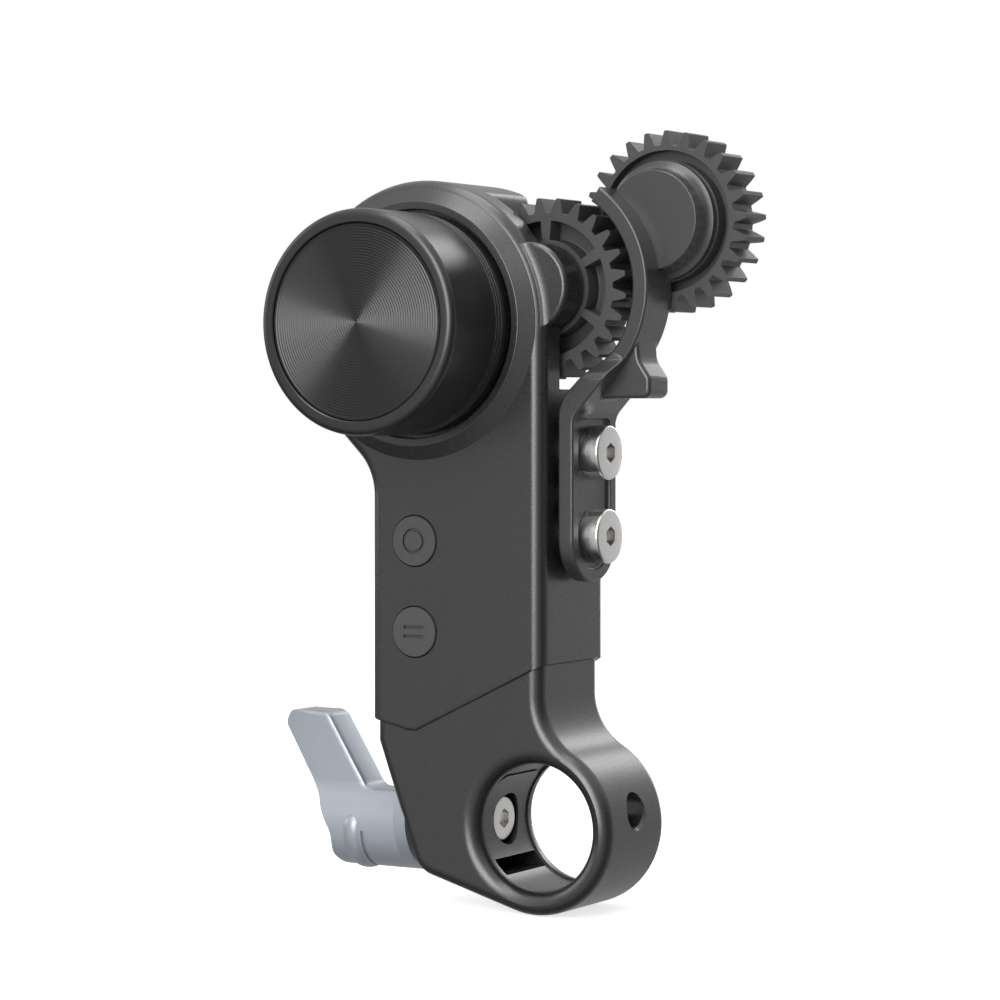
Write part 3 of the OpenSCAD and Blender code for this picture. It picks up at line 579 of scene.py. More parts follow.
def casing_rear():
    """The rear half: the gear notch, the seats of panel and cover, and the rear bores."""
    bm = solid(casing_outline(True), NOTCH_Y, HALF)
    round_casing(bm, HALF, sizes().notch_edge / MM)
    return cut(
        bm,
        solid(soft_corners(section("main_housing", 7.6, rank=1), PANEL_CORNER), 7.15, 9.15),
        solid(section("main_housing", 6.7, rank=1), 6.2, 8.2),
        block(*HOLLOW_X, -5, HOLLOW_Y[1], *HOLLOW_Z),
        rod_y(MOTOR_AT, MOTOR_BORE, -5, HOLLOW_Y[1]),
        rod_y(KNOB_AT, BUSH_BORE, -5, 3.4),
        rod_y(KNOB_AT, REAR_SHAFT_HOLE, -5, HOLLOW_Y[1], 48))


def lobe_fillet():
    """The hollow fillet where the lobe leaves the head."""
    ring = turned(KNOB_AT, [(16.3, -6.0), (16.3, -7.6), (16.85, -7.34), (17.0, -7.2), (17.25, -7.09),
                            (17.7, -7.03), (18.0, -7.02), (18.0, -6.0)])
    return combine(ring, rod_y(DRIVE_AT, 5.2, -9, -5), "INTERSECT")


def build_casing():
    """The casing with the knob's collar and spigot and the seats of the guard's screws."""
    collar = turned(KNOB_AT, [(13.7, -9.0, 0.12), (14.7, -9.0, 0.18), (14.72, -8.9), (16.3, -7.79),
                              (16.3, -7.2), (13.7, -7.2)])
    spigot = turned(KNOB_AT, [(5.01, -13.4), (6.2, -13.4), (6.2, -7.0), (2.4, -7.0), (2.4, -10.2),
                              (5.01, -10.2)])
    seats = [turned((0, z), [(1.51, 1.6), (3.85, 1.6), (3.85, 2.55, 0.1), (1.51, 2.55)], "X", 48)
             for z in GUARD_BOLTS_Z]
    shell = gather(casing_front(), casing_rear(), lobe_fillet(), collar, spigot, *seats)
    piece("casing_shell", shell, casing_black(), "housing", ["main_housing"])


# Clamp block and neck cover

LUG_R = 10.3
CORNER_AT = (-13.4, -3.2)
CORNER_R = 3.5
NECK_AT = (8.7, 15.529)
BLOCK_X = (-21.7, 1.2)
BLOCK_HALF = 7.4
ROD_BORE = 7.55


def block_outline():
    """The clamp block's outline: its neck, the round lug, the lower left corner and the step."""
    # Directions in which the slanted side and the foot touch the corner's arc
    side, foot = -159.91, -106.15
    pen = Pen(BLOCK_X[1], 19.154)
    pen.line(*STEP[2])
    pen.line(*STEP[1])
    pen.line(BLOCK_X[0], 12.065)
    pen.line(BLOCK_X[0], 9.3)
    pen.line(*on_circle(CORNER_AT, CORNER_R, side))
    pen.arc(CORNER_AT, on_circle(CORNER_AT, 1, foot), 1, 8)
    pen.line(*on_circle((0, 0), LUG_R, foot))
    pen.arc((0, 0), NECK_AT, 1, 48)
    pen.arc(NECK_AT, (BLOCK_X[1], NECK_AT[1]), -1, 14)
    return pen.close()


def block_body():
    """The clamp block's outer form with its rounded long edges."""
    bm = solid(block_outline(), -BLOCK_HALF, BLOCK_HALF)

    def under_step(e):
        return all(v.co.z > 10.7 for v in e.verts) and any(v.co.x < BLOCK_X[1] - 0.01 for v in e.verts)

    for y in (-BLOCK_HALF, BLOCK_HALF):
        round_edges(bm, lambda e: at_depth(y)(e) and not under_step(e), sizes().casing_edge / MM, 8)
    return bm


def mouth_cutter(side):
    """What rounds the mouth of the rod bore, at the front (-1) or the rear (1)."""
    mouth = sizes().mouth_edge / MM
    rim = ROD_BORE + mouth
    steps = 8
    profile = [(0, side * 9), (rim, side * 9), (rim, side * BLOCK_HALF)]
    for n in range(1, steps + 1):
        a = math.radians(90 - n * 90 / steps)
        profile.append((rim - mouth * math.cos(a), side * (BLOCK_HALF - mouth + mouth * math.sin(a))))
    profile.append((0, side * (BLOCK_HALF - mouth)))
    return turned((0, 0), profile)


def build_clamp_block():
    """The clamp block with its rod bore, jaw slot, spindle hole and tapped hole, and the neck cover."""
    jaw_slot = side_on(flat([(-4.9, -6.1), (4.9, -6.1), (4.9, 5.69, 1.6), (-4.9, 5.69, 1.6)]))
    tapped_hole = [(0, 5), (2.1, 5), (2.1, 9.9), (2.5, 10.4), (2.5, 11.5), (0, 11.5)]
    bm = cut(
        block_body(),
        rod_y((0, 0), ROD_BORE, -9, 9, 128),
        mouth_cutter(-1),
        mouth_cutter(1),
        rod_y((0, 0), ROD_BORE + 0.25, -5.1, 5.1, 128),
        thicken(jaw_slot, (-12.3, 0, 0), (12.3, 0, 0)),
        rod_x((0, 0), SPINDLE_HOLE, -19, 0),
        rod_x((0, 0), 7.05, -24, -17.5),
        turned((0, 2.1), tapped_hole, "X", 48),
        block(-24, 3, 6.4, 9, 9.3, 22))
    piece("clamp_body", bm, casing_black(), "housing", ["clamp_block"])
    cover = combine(block_body(), block(-24, 12, 6.41, 9, 9.38, 22), "INTERSECT")
    piece("neck_lid", cover, casing_black(), "housing", ["neck_cover"])


# Rear panel

def build_panel():
    """The grained panel and three slanted stripes on it, each narrower than the one below."""
    front, back, raised = 7.16, 7.65, 7.67
    bm = solid(soft_corners(section("rear_panel", 7.4), PANEL_CORNER), front, back)
    round_edges(bm, at_depth(back), 0.12, 3)
    piece("back_panel", bm, panel_grey(), "housing", ["rear_panel"])
    left, right, rise = -7.2, -2.6, 1.6
    bars = []
    for low, high in ((24.0, 25.6), (26.4, 27.2), (28.0, 28.4)):
        bar = flat([(left, low), (right, low + rise), (right, high + rise), (left, high)])
        bars.append(round_edges(solid(bar, back - 0.05, raised), at_depth(raised), 0.02, 2))
    piece("panel_stripes", gather(*bars), finish("stripe ink", colours().stripe, 0.55, specular=0.3),
          "housing")


# Knob

def build_knob():
    """The knob's grip with its three grooves, and the ringed disc set into its front."""
    s = sizes()
    front, seat, back, grip_r, face_r = -21.5, -20.6, -8.6, 13.3, 11.6
    profile = [(0, seat), (face_r, seat), (face_r, front + 0.12), (11.72, front, 0),
               (grip_r, front, s.knob_edge / MM), (grip_r, -11.95, 0.06)]
    for y in (-11.8, -11.2, -10.6):
        profile += [(grip_r, y - 0.05, 0.05), (13.05, y, 0), (13.05, y + 0.15, 0), (grip_r, y + 0.2, 0.05)]
    profile += [(grip_r, back, 0.15), (face_r, back), (face_r, -17.8), (4.2, -17.8), (4.2, -13.8),
                (0, -13.8)]
    piece("knob_body", turned(KNOB_AT, profile, steps=192), knob_black(), "knob", ["knob_grip"])

    pitch, depth = s.ring_pitch / MM, s.ring_depth / MM
    face_y = -21.3
    rings = [(0, seat), (11.55, seat), (11.55, face_y + 0.1), (11.45, face_y)]
    for n in range(int(11.3 / pitch), 0, -1):
        rings += [(n * pitch, face_y), ((n - 0.5) * pitch, face_y + depth)]
    rings.append((0, face_y))
    piece("knob_dial", turned(KNOB_AT, rings, steps=192), ringed_black(), "knob",
          ["knob_face"], sharp=6)


# Bright screws

def cap_screw(radius, height, socket, shank, reach):
    """A cap screw along Y with its seat at y = 0: head radius, head height, half the width of the
    socket across its corners, shank radius and shank length."""
    bm = turned((0, 0), [(0, -reach), (shank, -reach, 0.1), (shank, -0.05), (radius, 0, 0.08),
                         (radius, height, 0.32), (socket + 0.12, height), (0, height)], steps=64)
    hexagon = bmesh.new()
    place = Matrix.Rotation(math.pi / 2, 4, "X") @ Matrix.Translation((0, 0, -height))
    bmesh.ops.create_cone(hexagon, cap_ends=True, segments=6, radius1=socket, radius2=socket,
                          depth=height * 1.3, matrix=place)
    return combine(bm, hexagon)


def screws(name, size, places, turn, body, node):
    """Cap screws of one size at their places, as one piece."""
    made = []
    for place in places:
        one = cap_screw(*size)
        bmesh.ops.transform(one, matrix=Matrix.Translation(place) @ turn, verts=one.verts)
        made.append(one)
    piece(name, gather(*made), nickel(), body, [node])


def build_screws():
    """The bright screws of the guard, the link plate and the jaw."""
    to_x = Matrix.Rotation(-math.pi / 2, 4, "Z")
    to_y = Matrix.Identity(4)
    screws("bracket_bolts", (3.25, 2.6, 1.2, 1.5, 6.0), [(4.1, 0, z) for z in GUARD_BOLTS_Z], to_x,
           "housing", "bracket_screws")
    screws("link_bolts", (3.0, 1.8, 1.2, 1.25, 5.0), [(x, 11.7, z) for x, z in (DRIVE_AT, IDLER_AT)], to_y,
           "housing", "link_screws")
    screws("jaw_bolt", (2.75, 1.5, 1.2, 1.25, 5.0), [(-9.4, 0, 0)], to_x, "lever", "spindle_screw")


# Gears

MODULE = 0.8
DRIVE_TEETH = 25
PINION_TEETH = 13
IDLER_TEETH = 25
DRIVE_Y = (-2.2, 2.9)
PINION_Y = (2.91, 8.7)
IDLER_Y = (3.5, 8.7)
RECESS_R = 8.46


def toothed(at, teeth, phase, y0, y1):
    """A gear with rounded tips and roots; phase is the direction of its first tooth in degrees."""
    pitch = MODULE / 2 * teeth
    # One tooth: radius, distance from its middle line and corner radius
    tooth = [(pitch - 1.0, -0.9, 0), (pitch - 0.95, -0.76, 0.18), (pitch - 0.1, -0.56, 0),
             (pitch + 0.8, -0.28, 0.12), (pitch + 0.8, 0.28, 0.12), (pitch - 0.1, 0.56, 0),
             (pitch - 0.95, 0.76, 0.18), (pitch - 1.0, 0.9, 0)]
    slimmer = 0.92
    if teeth == PINION_TEETH:
        tooth = [(r, w * slimmer, c) for r, w, c in tooth]
    points = []
    for n in range(teeth):
        a = math.radians(phase + n * 360 / teeth)
        for r, w, c in tooth:
            points.append((at[0] + r * math.cos(a) - w * math.sin(a),
                           at[1] + r * math.sin(a) + w * math.cos(a), c))
    return solid(flat(points), y0, y1)


def pocket(n):
    """One of the six pockets between the drive gear's spokes."""
    bm = turned((0, 0), [(5.8, -3.0), (8.1, -3.0), (8.1, 0.35, 0.25), (5.8, 0.35, 0.25)],
                steps=12, angle=50.0)
    bmesh.ops.rotate(bm, verts=bm.verts, matrix=Matrix.Rotation(math.radians(95 + 60 * n), 3, "Y"))
    bmesh.ops.translate(bm, vec=(DRIVE_AT[0], 0, DRIVE_AT[1]), verts=bm.verts)
    return bm


def build_gears():
    """The spoked drive gear, its pinion and the idler gear with a recess in each face."""
    bm = cut(toothed(DRIVE_AT, DRIVE_TEETH, 196, *DRIVE_Y), *(pocket(n) for n in range(6)))
    bm = cut(bm, rod_y(DRIVE_AT, HUB_HOLE, -3, 4, 64), rod_y(DRIVE_AT, 5.2, -3, -1.8))
    piece("driving_gear", bm, gear_black(), "drive_train", ["drive_gear"])

    bm = toothed(DRIVE_AT, PINION_TEETH, IDLER_ANGLE, *PINION_Y)
    bm = cut(bm, rod_y(DRIVE_AT, HUB_HOLE, 1, 10, 64))
    piece("small_gear", bm, gear_black(), "drive_train", ["drive_pinion"])

    bm = toothed(IDLER_AT, IDLER_TEETH, IDLER_ANGLE + 180 + 180 / IDLER_TEETH, *IDLER_Y)
    bm = cut(bm, rod_y(IDLER_AT, RECESS_R, 2.0, 5.1, 128), rod_y(IDLER_AT, RECESS_R, 7.1, 10.0, 128),
             rod_y(IDLER_AT, HUB_HOLE, 2, 10, 64))
    piece("lens_gear_wheel", bm, gear_black(), "idler", ["idler_gear"])


# Gear guard

GUARD_IN = 12.1
GUARD_OUT = 14.1
FLANGE_FLOOR_X = 4.1


def guard_strap():
    """The flange with its recessed floor, and the slanted band that an S curve draws in to the ring."""
    strap = solid(flat([(2.55, 28.9), (2.55, 50.28, 4.0), (8.77, 56.5), (10.37, 55.3), (8.57, 52.9),
                        (4.55, 48.45, 2.2), (4.55, 28.9)]), -8, 8)
    waist = side_on(flat([(-5.45, 28.9, 5.2), (5.45, 28.9, 5.2), (5.45, 53.4, 1.6), (3.2, 55.4, 1.6),
                          (3.2, 58), (-3.2, 58), (-3.2, 55.4, 1.6), (-5.45, 53.4, 1.6)]))
    strap = combine(strap, thicken(waist, (0, 0, 0), (14, 0, 0)), "INTERSECT")
    floor = side_on(flat([(-4.05, 30.3, 3.8), (4.05, 30.3, 3.8), (4.05, 48.3, 1.2), (-4.05, 48.3, 1.2)]))
    thicken(floor, (FLANGE_FLOOR_X, 0, 0), (3, 0, 0))
    round_edges(floor, lambda e: all(abs(v.co.x - FLANGE_FLOOR_X) < 0.002 for v in e.verts), 0.3, 3)
    strap = cut(strap, floor, *(rod_x((0, z), 1.6, 0, 6.5) for z in GUARD_BOLTS_Z))

    def border(e):
        """The outer edges of the flange and the band, not those of its floor and holes."""
        mid = (e.verts[0].co + e.verts[1].co) / 2
        out = math.hypot(max(abs(mid.y) - 0.25, 0), max(34.1 - mid.z, 0))
        return sharp_over(50)(e) and (out > 4.4 or mid.z > 48.6)

    return round_edges(strap, border, sizes().guard_edge / MM, 3)


def guard_ring():
    """The ring band round the drive gear."""
    upper, lower, half = 57, -41, 3.2
    pen = Pen(*on_circle(DRIVE_AT, GUARD_IN, upper))
    pen.arc(DRIVE_AT, on_circle(DRIVE_AT, 1, lower), -1, 48)
    pen.line(*on_circle(DRIVE_AT, GUARD_OUT, lower))
    pen.arc(DRIVE_AT, on_circle(DRIVE_AT, 1, upper), 1, 48)
    bm = solid(pen.close(), -half, half)
    for depth in (-half, half):
        round_edges(bm, at_depth(depth), sizes().guard_edge / MM, 3)
    return bm


def guard_tab():
    """The tab, set back from the ring."""
    half = 2.5
    bm = solid(flat([(4.2, 48.9), (6.75, 50.68, 0.8), (13.21, 50.68, 1.0), (13.21, 53.1, 1.0),
                     (11.75, 55.2, 2.2), (11.65, 57.6), (10.6, 58.6), (9.6, 56.4), (4.2, 51.0)]),
               -half, half)
    for depth in (-half, half):
        round_edges(bm, at_depth(depth), 0.5, 4)
    return bm


def guard_boss():
    """The half-moon boss in front of the idler gear."""
    bm = turned(IDLER_AT, [(0, 0), (5.9, 0, 0.15), (6.05, 1.3), (6.25, 1.75), (6.7, 2.1), (7.1, 2.25, 0.1),
                           (7.1, 3.2), (0, 3.2)])
    return cut(bm, rod_y(DRIVE_AT, GUARD_IN, -8, 3.2))


def build_guard():
    """The gear guard: its strap as one shell, and the ring, tab and boss as another."""
    strap = guard_strap()
    bm = guard_ring()
    for part in (guard_tab(), guard_boss(), rod_y(IDLER_AT, 7.3, 3.15, 4.8)):
        bm = combine(bm, part, "UNION")
    bm = cut(bm, rod_y(DRIVE_AT, 6.6, 2.2, 16), rod_y(IDLER_AT, AXLE_HOLE, 1, 16, 48))
    piece("gear_guard", gather(strap, bm), guard_black(), "housing", ["guard_bracket"])


# Link plate

def stadium(radius):
    """The link plate's outline between the two gear axes."""
    n = IDLER_ANGLE + 90
    pen = Pen(*on_circle(DRIVE_AT, radius, n))
    pen.arc(DRIVE_AT, on_circle(DRIVE_AT, 1, n + 180), 1, 32)
    pen.line(*on_circle(IDLER_AT, radius, n + 180))
    pen.arc(IDLER_AT, on_circle(IDLER_AT, 1, n), 1, 32)
    return pen.close()


def build_link():
    """The link plate with its well, its boss and the holes for axles and screws."""
    edge = sizes().link_edge / MM
    front, floor, back = 9.3, 11.7, 12.4
    bm = solid(stadium(5.1), front, back)
    round_edges(bm, at_depth(back), edge, 4)
    round_edges(bm, at_depth(front), edge, 3)
    well = solid(stadium(3.9), floor, 14)
    round_edges(well, at_depth(floor), 0.3, 3)
    bm = combine(cut(bm, well), rod_y(IDLER_AT, 5.6, 7.4, 9.6), "UNION")
    for radius, end, steps in ((AXLE_HOLE, 10.7, 48), (1.3, 12, 32)):
        bm = cut(bm, rod_y(DRIVE_AT, radius, 7, end, steps), rod_y(IDLER_AT, radius, 7, end, steps))
    piece("link_bar", bm, link_silver(), "housing", ["link_plate"])


# Clamp lever

LEVER_HUB = (0, -2.15)
LEVER_HUB_R = 4.75
BLADE_HALF = 2.5
BLADE_HOLLOW = 4.1
BLADE_TOP = 12.0
RIDGE_X = -26.95
RIDGE_HALF = 1.3
RIDGE_HEIGHT = 0.85
RIDGE_R = 4.25


def lever_form():
    """The lever's form: its outline along X crossed with its outline in the front view."""
    half, hollow, hub = BLADE_HALF, BLADE_HOLLOW, LEVER_HUB_R
    # Seen along X, the blade's two faces run through hollow fillets into the round hub
    low = LEVER_HUB[1] + math.sqrt((hub + hollow) ** 2 - (half + hollow) ** 2)
    lean = math.degrees(math.acos((half + hollow) / (hub + hollow)))
    pen = Pen(half, 13)
    pen.line(half, low)
    pen.arc((half + hollow, low), on_circle((half + hollow, low), 1, 180 + lean), 1, 12)
    pen.arc(LEVER_HUB, on_circle(LEVER_HUB, 1, 180 - lean), -1, 64)
    pen.arc((-half - hollow, low), on_circle((-half - hollow, low), 1, 0), 1, 12)
    pen.line(-half, 13)
    along = thicken(side_on(pen.close()), (-40, 0, 0), (22.2, 0, 0))
    # Seen from the front, the slanted blade with its rounded tip, and the hub's long back
    front = solid(flat([(-17, -8), (-17, 2.75), (-25.9, 2.75, 1.6), (-31.76, BLADE_TOP, 1.5),
                        (-37.1, BLADE_TOP, 0.9), (-37.9, 10.4, 1.0), (-33.6, 3.05, 3.0),
                        (-29.8, -2.8, 2.5), (-30.2, -5.4, 1.2), (-29.3, -8)]), -9, 9)
    return combine(along, front, "INTERSECT")


def blade_edge(e):
    """Chooses the edges along the blade's top and inner side."""
    mid = (e.verts[0].co + e.verts[1].co) / 2
    inner_side = -25.9 - (mid.z - 2.75) * 0.634
    along_blade = mid.z > 2.5 and -35.3 < mid.x < -18 and abs(mid.y) > 2.3
    return sharp_over(50)(e) and along_blade and (mid.x > inner_side - 1.4 or mid.z > BLADE_TOP - 0.1)


def add_ridge(bm):
    """Adds the pill-shaped ridge round the lower half of the hub, with its two round ends."""
    profile = [(RIDGE_R + RIDGE_HEIGHT * math.cos(a), RIDGE_X + RIDGE_HALF * math.sin(a))
               for a in (n * math.pi / 12 for n in range(24))]
    ridge = turned((0, 0), profile, "X", 64, 196.0)
    bmesh.ops.rotate(ridge, verts=ridge.verts, matrix=Matrix.Rotation(math.radians(-8), 3, "X"))
    bmesh.ops.translate(ridge, verts=ridge.verts, vec=(0, *LEVER_HUB))
    bm = combine(bm, ridge, "UNION")
    for side in (172, 8):
        end = on_circle(LEVER_HUB, RIDGE_R, side)
        spot = Matrix.Translation((RIDGE_X, *end)) @ Matrix.Rotation(math.radians(side), 4, "X")
        size = Matrix.Diagonal((RIDGE_HALF, RIDGE_HEIGHT, RIDGE_HALF, 1))
        cap = bmesh.new()
        bmesh.ops.create_uvsphere(cap, u_segments=48, v_segments=24, radius=1, matrix=spot @ size)
        bm = combine(bm, cap, "UNION")
    return bm


def build_lever():
    """The clamp lever with its ridge and groove, and the collar at the clamp block."""
    bm = lever_form()
    round_edges(bm, blade_edge, sizes().lever_edge / MM, 2)
    bm = add_ridge(bm)
    groove = turned((0, 0), [(4.4, -25.5), (6.0, -25.5), (6.0, -25.0), (4.4, -25.0)], "X", 64, 180.0)
    bmesh.ops.translate(groove, verts=groove.verts, vec=(0, *LEVER_HUB))
    bm = cut(bm, groove, rod_x((0, 0), LEVER_HOLE, -27.7, -17))
    collar = cut(rod_x((0, 0), 6.8, -19.5, -17.85, 96), rod_x((0, 0), LEVER_HOLE, -27.7, -17))
    piece("clamp_lever", gather(bm, collar), lever_grey(), "lever", ["lever_handle"])


# Jaw and buttons

def build_jaw():
    """The jaw with its hollow face, spindle hole and screw recess."""
    bm = side_on(flat([(-4.8, -4.3), (4.8, -4.3), (4.8, 5.59, 1.5), (-4.8, 5.59, 1.5)]))
    bm = thicken(bm, (-11.0, 0, 0), (10.75, 0, 0))
    bm = cut(bm, rod_y((-0.25, 0), 7.5, -6, 6, 128), rod_x((0, 0), SPINDLE_HOLE, -13, 0),
             rod_x((0, 0), 3.1, -10.0, 0))
    piece("bore_jaw", bm, casing_black(), "jaw", ["clamp_jaw"])


def build_buttons():
    """The two buttons with a generic mark cut into each: a ring above and two bars below."""
    deep, out = -7.75, -8.2
    ring = turned(UPPER_BUTTON_AT, [(1.15, out), (1.55, out), (1.55, deep), (1.15, deep)], steps=64)
    x, z = LOWER_BUTTON_AT
    bars = [block(x - 1.4, x + 1.4, out, deep, z + low, z + low + 0.4) for low in (0.35, -0.75)]
    for name, node, body, at, mark in (
            ("upper_key", "button_upper", "upper_button", UPPER_BUTTON_AT, ring),
            ("lower_key", "button_lower", "lower_button", LOWER_BUTTON_AT, gather(*bars))):
        bm = turned(at, [(0, -8.05), (3.0, -8.05, 0.12), (3.0, -6.55), (3.6, -6.55), (3.6, -6.15),
                         (0, -6.15)], steps=96)
        piece(name, combine(bm, mark), button_black(), body, [node])


# Inner parts

def dress_inner_parts():
    """Gives the carried-over inner nodes their own finishes."""
    steel = finish("ground steel", (0.5, 0.5, 0.5), 0.3, metallic=1.0, grain=2000.0, grain_depth=0.002,
                   spread=0.02)
    bronze = finish("sintered bronze", (0.45, 0.28, 0.1), 0.4, metallic=1.0, grain=2200.0,
                    grain_depth=0.03, tone=0.12)
    board = finish("green solder mask", (0.02, 0.11, 0.05), 0.3, grain=1500.0, tone=0.15)
    wrap = finish("blue cell wrap", (0.04, 0.15, 0.38), 0.3, grain=800.0, grain_depth=0.01)
    plastic = finish("black switch plastic", (0.024, 0.024, 0.024), 0.5, grain=3000.0)
    inner = (
        (casing_black(), ("rear_cover",)),
        (steel, ("cover_screws", "block_screws", "drive_axle", "idler_axle", "knob_bearing", "motor",
                 "lever_washer", "knob_shaft", "knob_screw", "lever_spindle")),
        (bronze, ("rear_bush", "drive_bushes", "idler_bushes", "motor_pinion")),
        (board, ("main_board", "encoder_board")),
        (plastic, ("button_switches", "knob_wheel", "encoder_ring")),
        (wrap, ("battery_cell",)),
        (gear_black(), ("knob_pinion",)))
    for material, nodes in inner:
        for node in nodes:
            slots = frame["nodes"][node].data.materials
            slots.clear()
            slots.append(material)


# Stage, in metres

# Name, place, width, height and energy of each lamp
LAMPS = (
    ("front box", (0.07, -0.85, 0.28), 0.45, 0.7, 5.2),
    ("edge box", (0.36, -0.77, 0.28), 0.2, 0.7, 0.6),
    ("top box", (-0.02, -0.15, 0.7), 0.3, 1.0, 2.8),
    ("back box", (0.06, 0.85, 0.28), 0.24, 0.7, 1.6),
    ("left box", (-0.75, -0.2, 0.25), 0.4, 0.5, 1.0),
)
LAMPS_AIM = Vector((-0.01, 0, 0.04))
CAMERA_AT = (0.1914, -0.34205, 0.0505)
CAMERA_AIM_X = -0.0085
FLOOR_HALF = 4.0
FLOOR_GAP = 0.0001
DIFFUSE_LIGHT = 0.34


def studio_world():
    """White to the camera and through glass; reflections see a soft room, dim at the sides and
    brighter above, in front and behind."""
    world = bpy.data.worlds.new("studio")
    world.use_nodes = True
    tree = world.node_tree
    link = tree.links.new
    shader = tree.nodes["Background"]
    shader.inputs["Color"].default_value = (1, 1, 1, 1)
    where = add_node(tree, "TexCoord")
    split = add_node(tree, "SeparateXYZ")
    link(where.outputs["Generated"], split.inputs[0])

    def feed(socket, value):
        if isinstance(value, float):
            socket.default_value = value
        else:
            link(value, socket)

    def ramp(axis, low, high, reach):
        """Rises from 0 to reach between two values of a direction's part along an axis."""
        step = add_node(tree, "MapRange", {"From Min": low, "From Max": high, "To Max": reach})
        step.interpolation_type = "SMOOTHSTEP"
        link(split.outputs[axis], step.inputs["Value"])
        return step.outputs["Result"]

    def mixed(kind, first, second):
        node = add_node(tree, "Math")
        node.operation = kind
        feed(node.inputs[0], first)
        feed(node.inputs[1], second)
        return node.outputs[0]

    def blend(factor, first, second):
        node = add_node(tree, "Mix")
        node.data_type = "FLOAT"
        feed(node.inputs["Factor"], factor)
        feed(node.inputs["A"], first)
        feed(node.inputs["B"], second)
        return node.outputs["Result"]

    path = add_node(tree, "LightPath")
    room = mixed("ADD", mixed("ADD", ramp("Y", 0.0, 0.9, 0.45), ramp("Z", 0.2, 0.9, 0.9)), 0.1)
    room = mixed("ADD", room, ramp("Y", -0.3, -0.85, 0.45))
    room = mixed("MINIMUM", room, 1.0)
    level = blend(path.outputs["Is Glossy Ray"], DIFFUSE_LIGHT, room)
    seen = mixed("MAXIMUM", path.outputs["Is Camera Ray"], path.outputs["Is Transmission Ray"])
    link(blend(seen, level, 1.0), shader.inputs["Strength"])
    return world


def pale_floor():
    """A pale floor that keeps the object's shadow and runs into the white backdrop."""
    mat = bpy.data.materials.new("pale floor")
    mat.use_nodes = True
    tree = mat.node_tree
    link = tree.links.new
    shader = tree.nodes["Principled BSDF"]
    shader.inputs["Roughness"].default_value = 0.9
    shader.inputs["Specular IOR Level"].default_value = 0.0
    where = add_node(tree, "TexCoord")
    grain = add_node(tree, "TexNoise", {"Scale": 40.0})
    link(where.outputs["Object"], grain.inputs["Vector"])
    tint = add_node(tree, "ValToRGB")
    for stop, tone in zip(tint.color_ramp.elements, (0.84, 0.86)):
        stop.color = (tone, tone, tone, 1)
    link(grain.outputs["Fac"], tint.inputs["Fac"])
    link(tint.outputs["Color"], shader.inputs["Base Color"])
    shader.inputs["Emission Color"].default_value = (1, 1, 1, 1)
    path = add_node(tree, "LightPath")
    glow = add_node(tree, "Math", {1: 0.72})
    glow.operation = "MULTIPLY"
    link(path.outputs["Is Camera Ray"], glow.inputs[0])
    link(glow.outputs[0], shader.inputs["Emission Strength"])
    return mat


def add_floor(scene):
    """The floor that the unit stands on; reflections don't see it."""
    bm = bmesh.new()
    bmesh.ops.create_grid(bm, x_segments=1, y_segments=1, size=FLOOR_HALF,
                          matrix=Matrix.Translation((0, 0, cad_box[0][2] - FLOOR_GAP)))
    mesh = bpy.data.meshes.new("floor")
    bm.to_mesh(mesh)
    bm.free()
    floor = bpy.data.objects.new("floor", mesh)
    mesh.materials.append(pale_floor())
    scene.collection.objects.link(floor)
    floor.visible_glossy = False


def add_lamps(scene):
    """The soft boxes round the unit, all aimed at one point."""
    for name, place, width, height, energy in LAMPS:
        light = bpy.data.lights.new(name, "AREA")
        light.shape = "RECTANGLE"
        light.size, light.size_y = width, height
        light.energy = energy
        lamp = bpy.data.objects.new(name, light)
        lamp.location = place
        lamp.rotation_euler = (LAMPS_AIM - Vector(place)).to_track_quat("-Z", "Y").to_euler()
        scene.collection.objects.link(lamp)


def add_camera(scene):
    """A level camera at the photograph's angle; its shift brings the unit to the picture's middle."""
    lens = bpy.data.cameras.new("view")
    lens.sensor_width = 36.0
    lens.lens = 118.0
    lens.shift_y = -0.1
    camera = bpy.data.objects.new("view", lens)
    camera.location = CAMERA_AT
    camera.rotation_euler = (math.pi / 2, 0, math.atan2(CAMERA_AT[0] - CAMERA_AIM_X, -CAMERA_AT[1]))
    scene.collection.objects.link(camera)
    scene.camera = camera


def build_stage():
    """The world, the floor, the lamps and the camera."""
    scene = bpy.context.scene
    scene.world = studio_world()
    add_floor(scene)
    add_lamps(scene)
    add_camera(scene)
    scene.view_settings.view_transform = "Standard"


# Operators, panel and run. A build function that can't finish raises an error.

class FOCUS_OT_casing(bpy.types.Operator):
    """Build the casing with its collar and rounded edges"""
    bl_idname = "focus.casing"
    bl_label = "Casing"

    def execute(self, context):
        build_casing()
        return {"FINISHED"}


class FOCUS_OT_clamp_block(bpy.types.Operator):
    """Build the clamp block and the neck cover"""
    bl_idname = "focus.clamp_block"
    bl_label = "Clamp block"

    def execute(self, context):
        build_clamp_block()
        return {"FINISHED"}


class FOCUS_OT_panel(bpy.types.Operator):
    """Build the grained rear panel and its stripes"""
    bl_idname = "focus.panel"
    bl_label = "Rear panel"

    def execute(self, context):
        build_panel()
        return {"FINISHED"}


class FOCUS_OT_knob(bpy.types.Operator):
    """Build the knob and its ringed face"""
    bl_idname = "focus.knob"
    bl_label = "Knob"

    def execute(self, context):
        build_knob()
        return {"FINISHED"}


class FOCUS_OT_screws(bpy.types.Operator):
    """Build the bright cap screws"""
    bl_idname = "focus.screws"
    bl_label = "Screws"

    def execute(self, context):
        build_screws()
        return {"FINISHED"}


class FOCUS_OT_gears(bpy.types.Operator):
    """Build the drive gear, its pinion and the idler gear"""
    bl_idname = "focus.gears"
    bl_label = "Gears"

    def execute(self, context):
        build_gears()
        return {"FINISHED"}


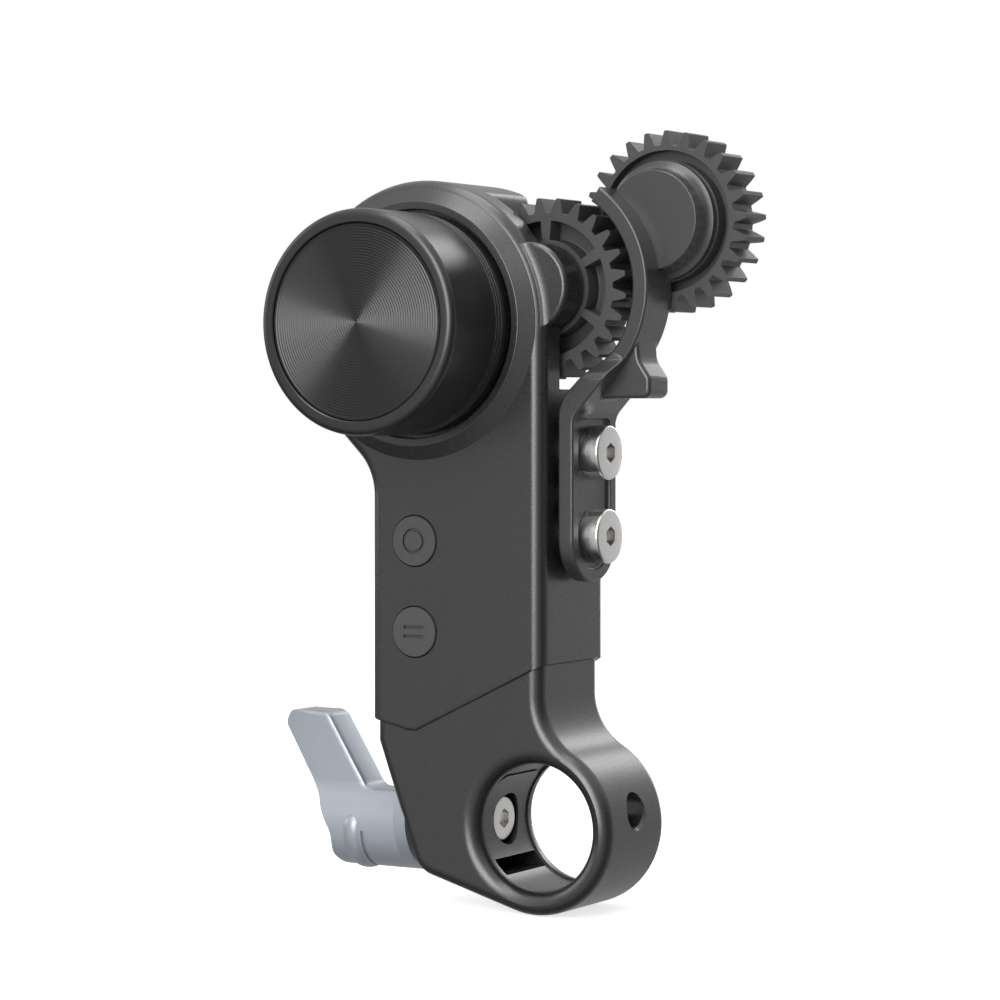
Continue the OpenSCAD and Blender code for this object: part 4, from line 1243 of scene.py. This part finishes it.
class FOCUS_OT_guard(bpy.types.Operator):
    """Build the gear guard with its flange"""
    bl_idname = "focus.guard"
    bl_label = "Gear guard"

    def execute(self, context):
        build_guard()
        return {"FINISHED"}


class FOCUS_OT_link(bpy.types.Operator):
    """Build the silver link plate"""
    bl_idname = "focus.link"
    bl_label = "Link plate"

    def execute(self, context):
        build_link()
        return {"FINISHED"}


class FOCUS_OT_lever(bpy.types.Operator):
    """Build the clamp lever"""
    bl_idname = "focus.lever"
    bl_label = "Clamp lever"

    def execute(self, context):
        build_lever()
        return {"FINISHED"}


class FOCUS_OT_jaw(bpy.types.Operator):
    """Build the jaw in the bore"""
    bl_idname = "focus.jaw"
    bl_label = "Clamp jaw"

    def execute(self, context):
        build_jaw()
        return {"FINISHED"}


class FOCUS_OT_buttons(bpy.types.Operator):
    """Build the two push buttons"""
    bl_idname = "focus.buttons"
    bl_label = "Buttons"

    def execute(self, context):
        build_buttons()
        return {"FINISHED"}


class FOCUS_OT_inner_parts(bpy.types.Operator):
    """Give the inner parts their finishes"""
    bl_idname = "focus.inner_parts"
    bl_label = "Inner parts"

    def execute(self, context):
        dress_inner_parts()
        return {"FINISHED"}


class FOCUS_OT_stage(bpy.types.Operator):
    """Set the lamps, the backdrop and the camera"""
    bl_idname = "focus.stage"
    bl_label = "Stage"

    def execute(self, context):
        build_stage()
        return {"FINISHED"}


OPERATORS = (
    FOCUS_OT_casing, FOCUS_OT_clamp_block, FOCUS_OT_panel, FOCUS_OT_knob, FOCUS_OT_screws, FOCUS_OT_gears,
    FOCUS_OT_guard, FOCUS_OT_link, FOCUS_OT_lever, FOCUS_OT_jaw, FOCUS_OT_buttons, FOCUS_OT_inner_parts,
    FOCUS_OT_stage)


class FOCUS_PT_pieces(bpy.types.Panel):
    """Lists the steps that build the unit, its sizes and its colours"""
    bl_label = "Follow focus unit"
    bl_idname = "FOCUS_PT_pieces"
    bl_space_type = "VIEW_3D"
    bl_region_type = "UI"
    bl_category = "Follow focus"

    def draw(self, context):
        for step in OPERATORS:
            self.layout.operator(step.bl_idname)
        for group in (context.scene.focus_sizes, context.scene.focus_colours):
            box = self.layout.box()
            for name in group.__annotations__:
                box.prop(group, name)


CLASSES = (FocusSizes, FocusColours, *OPERATORS, FOCUS_PT_pieces)


def register():
    for cls in CLASSES:
        bpy.utils.register_class(cls)
    bpy.types.Scene.focus_sizes = bpy.props.PointerProperty(type=FocusSizes)
    bpy.types.Scene.focus_colours = bpy.props.PointerProperty(type=FocusColours)


def unregister():
    del bpy.types.Scene.focus_colours
    del bpy.types.Scene.focus_sizes
    for cls in reversed(CLASSES):
        bpy.utils.unregister_class(cls)


def main():
    register()
    for step in OPERATORS:
        getattr(bpy.ops.focus, step.bl_idname.split(".")[1])()


if __name__ == "__main__":
    main()
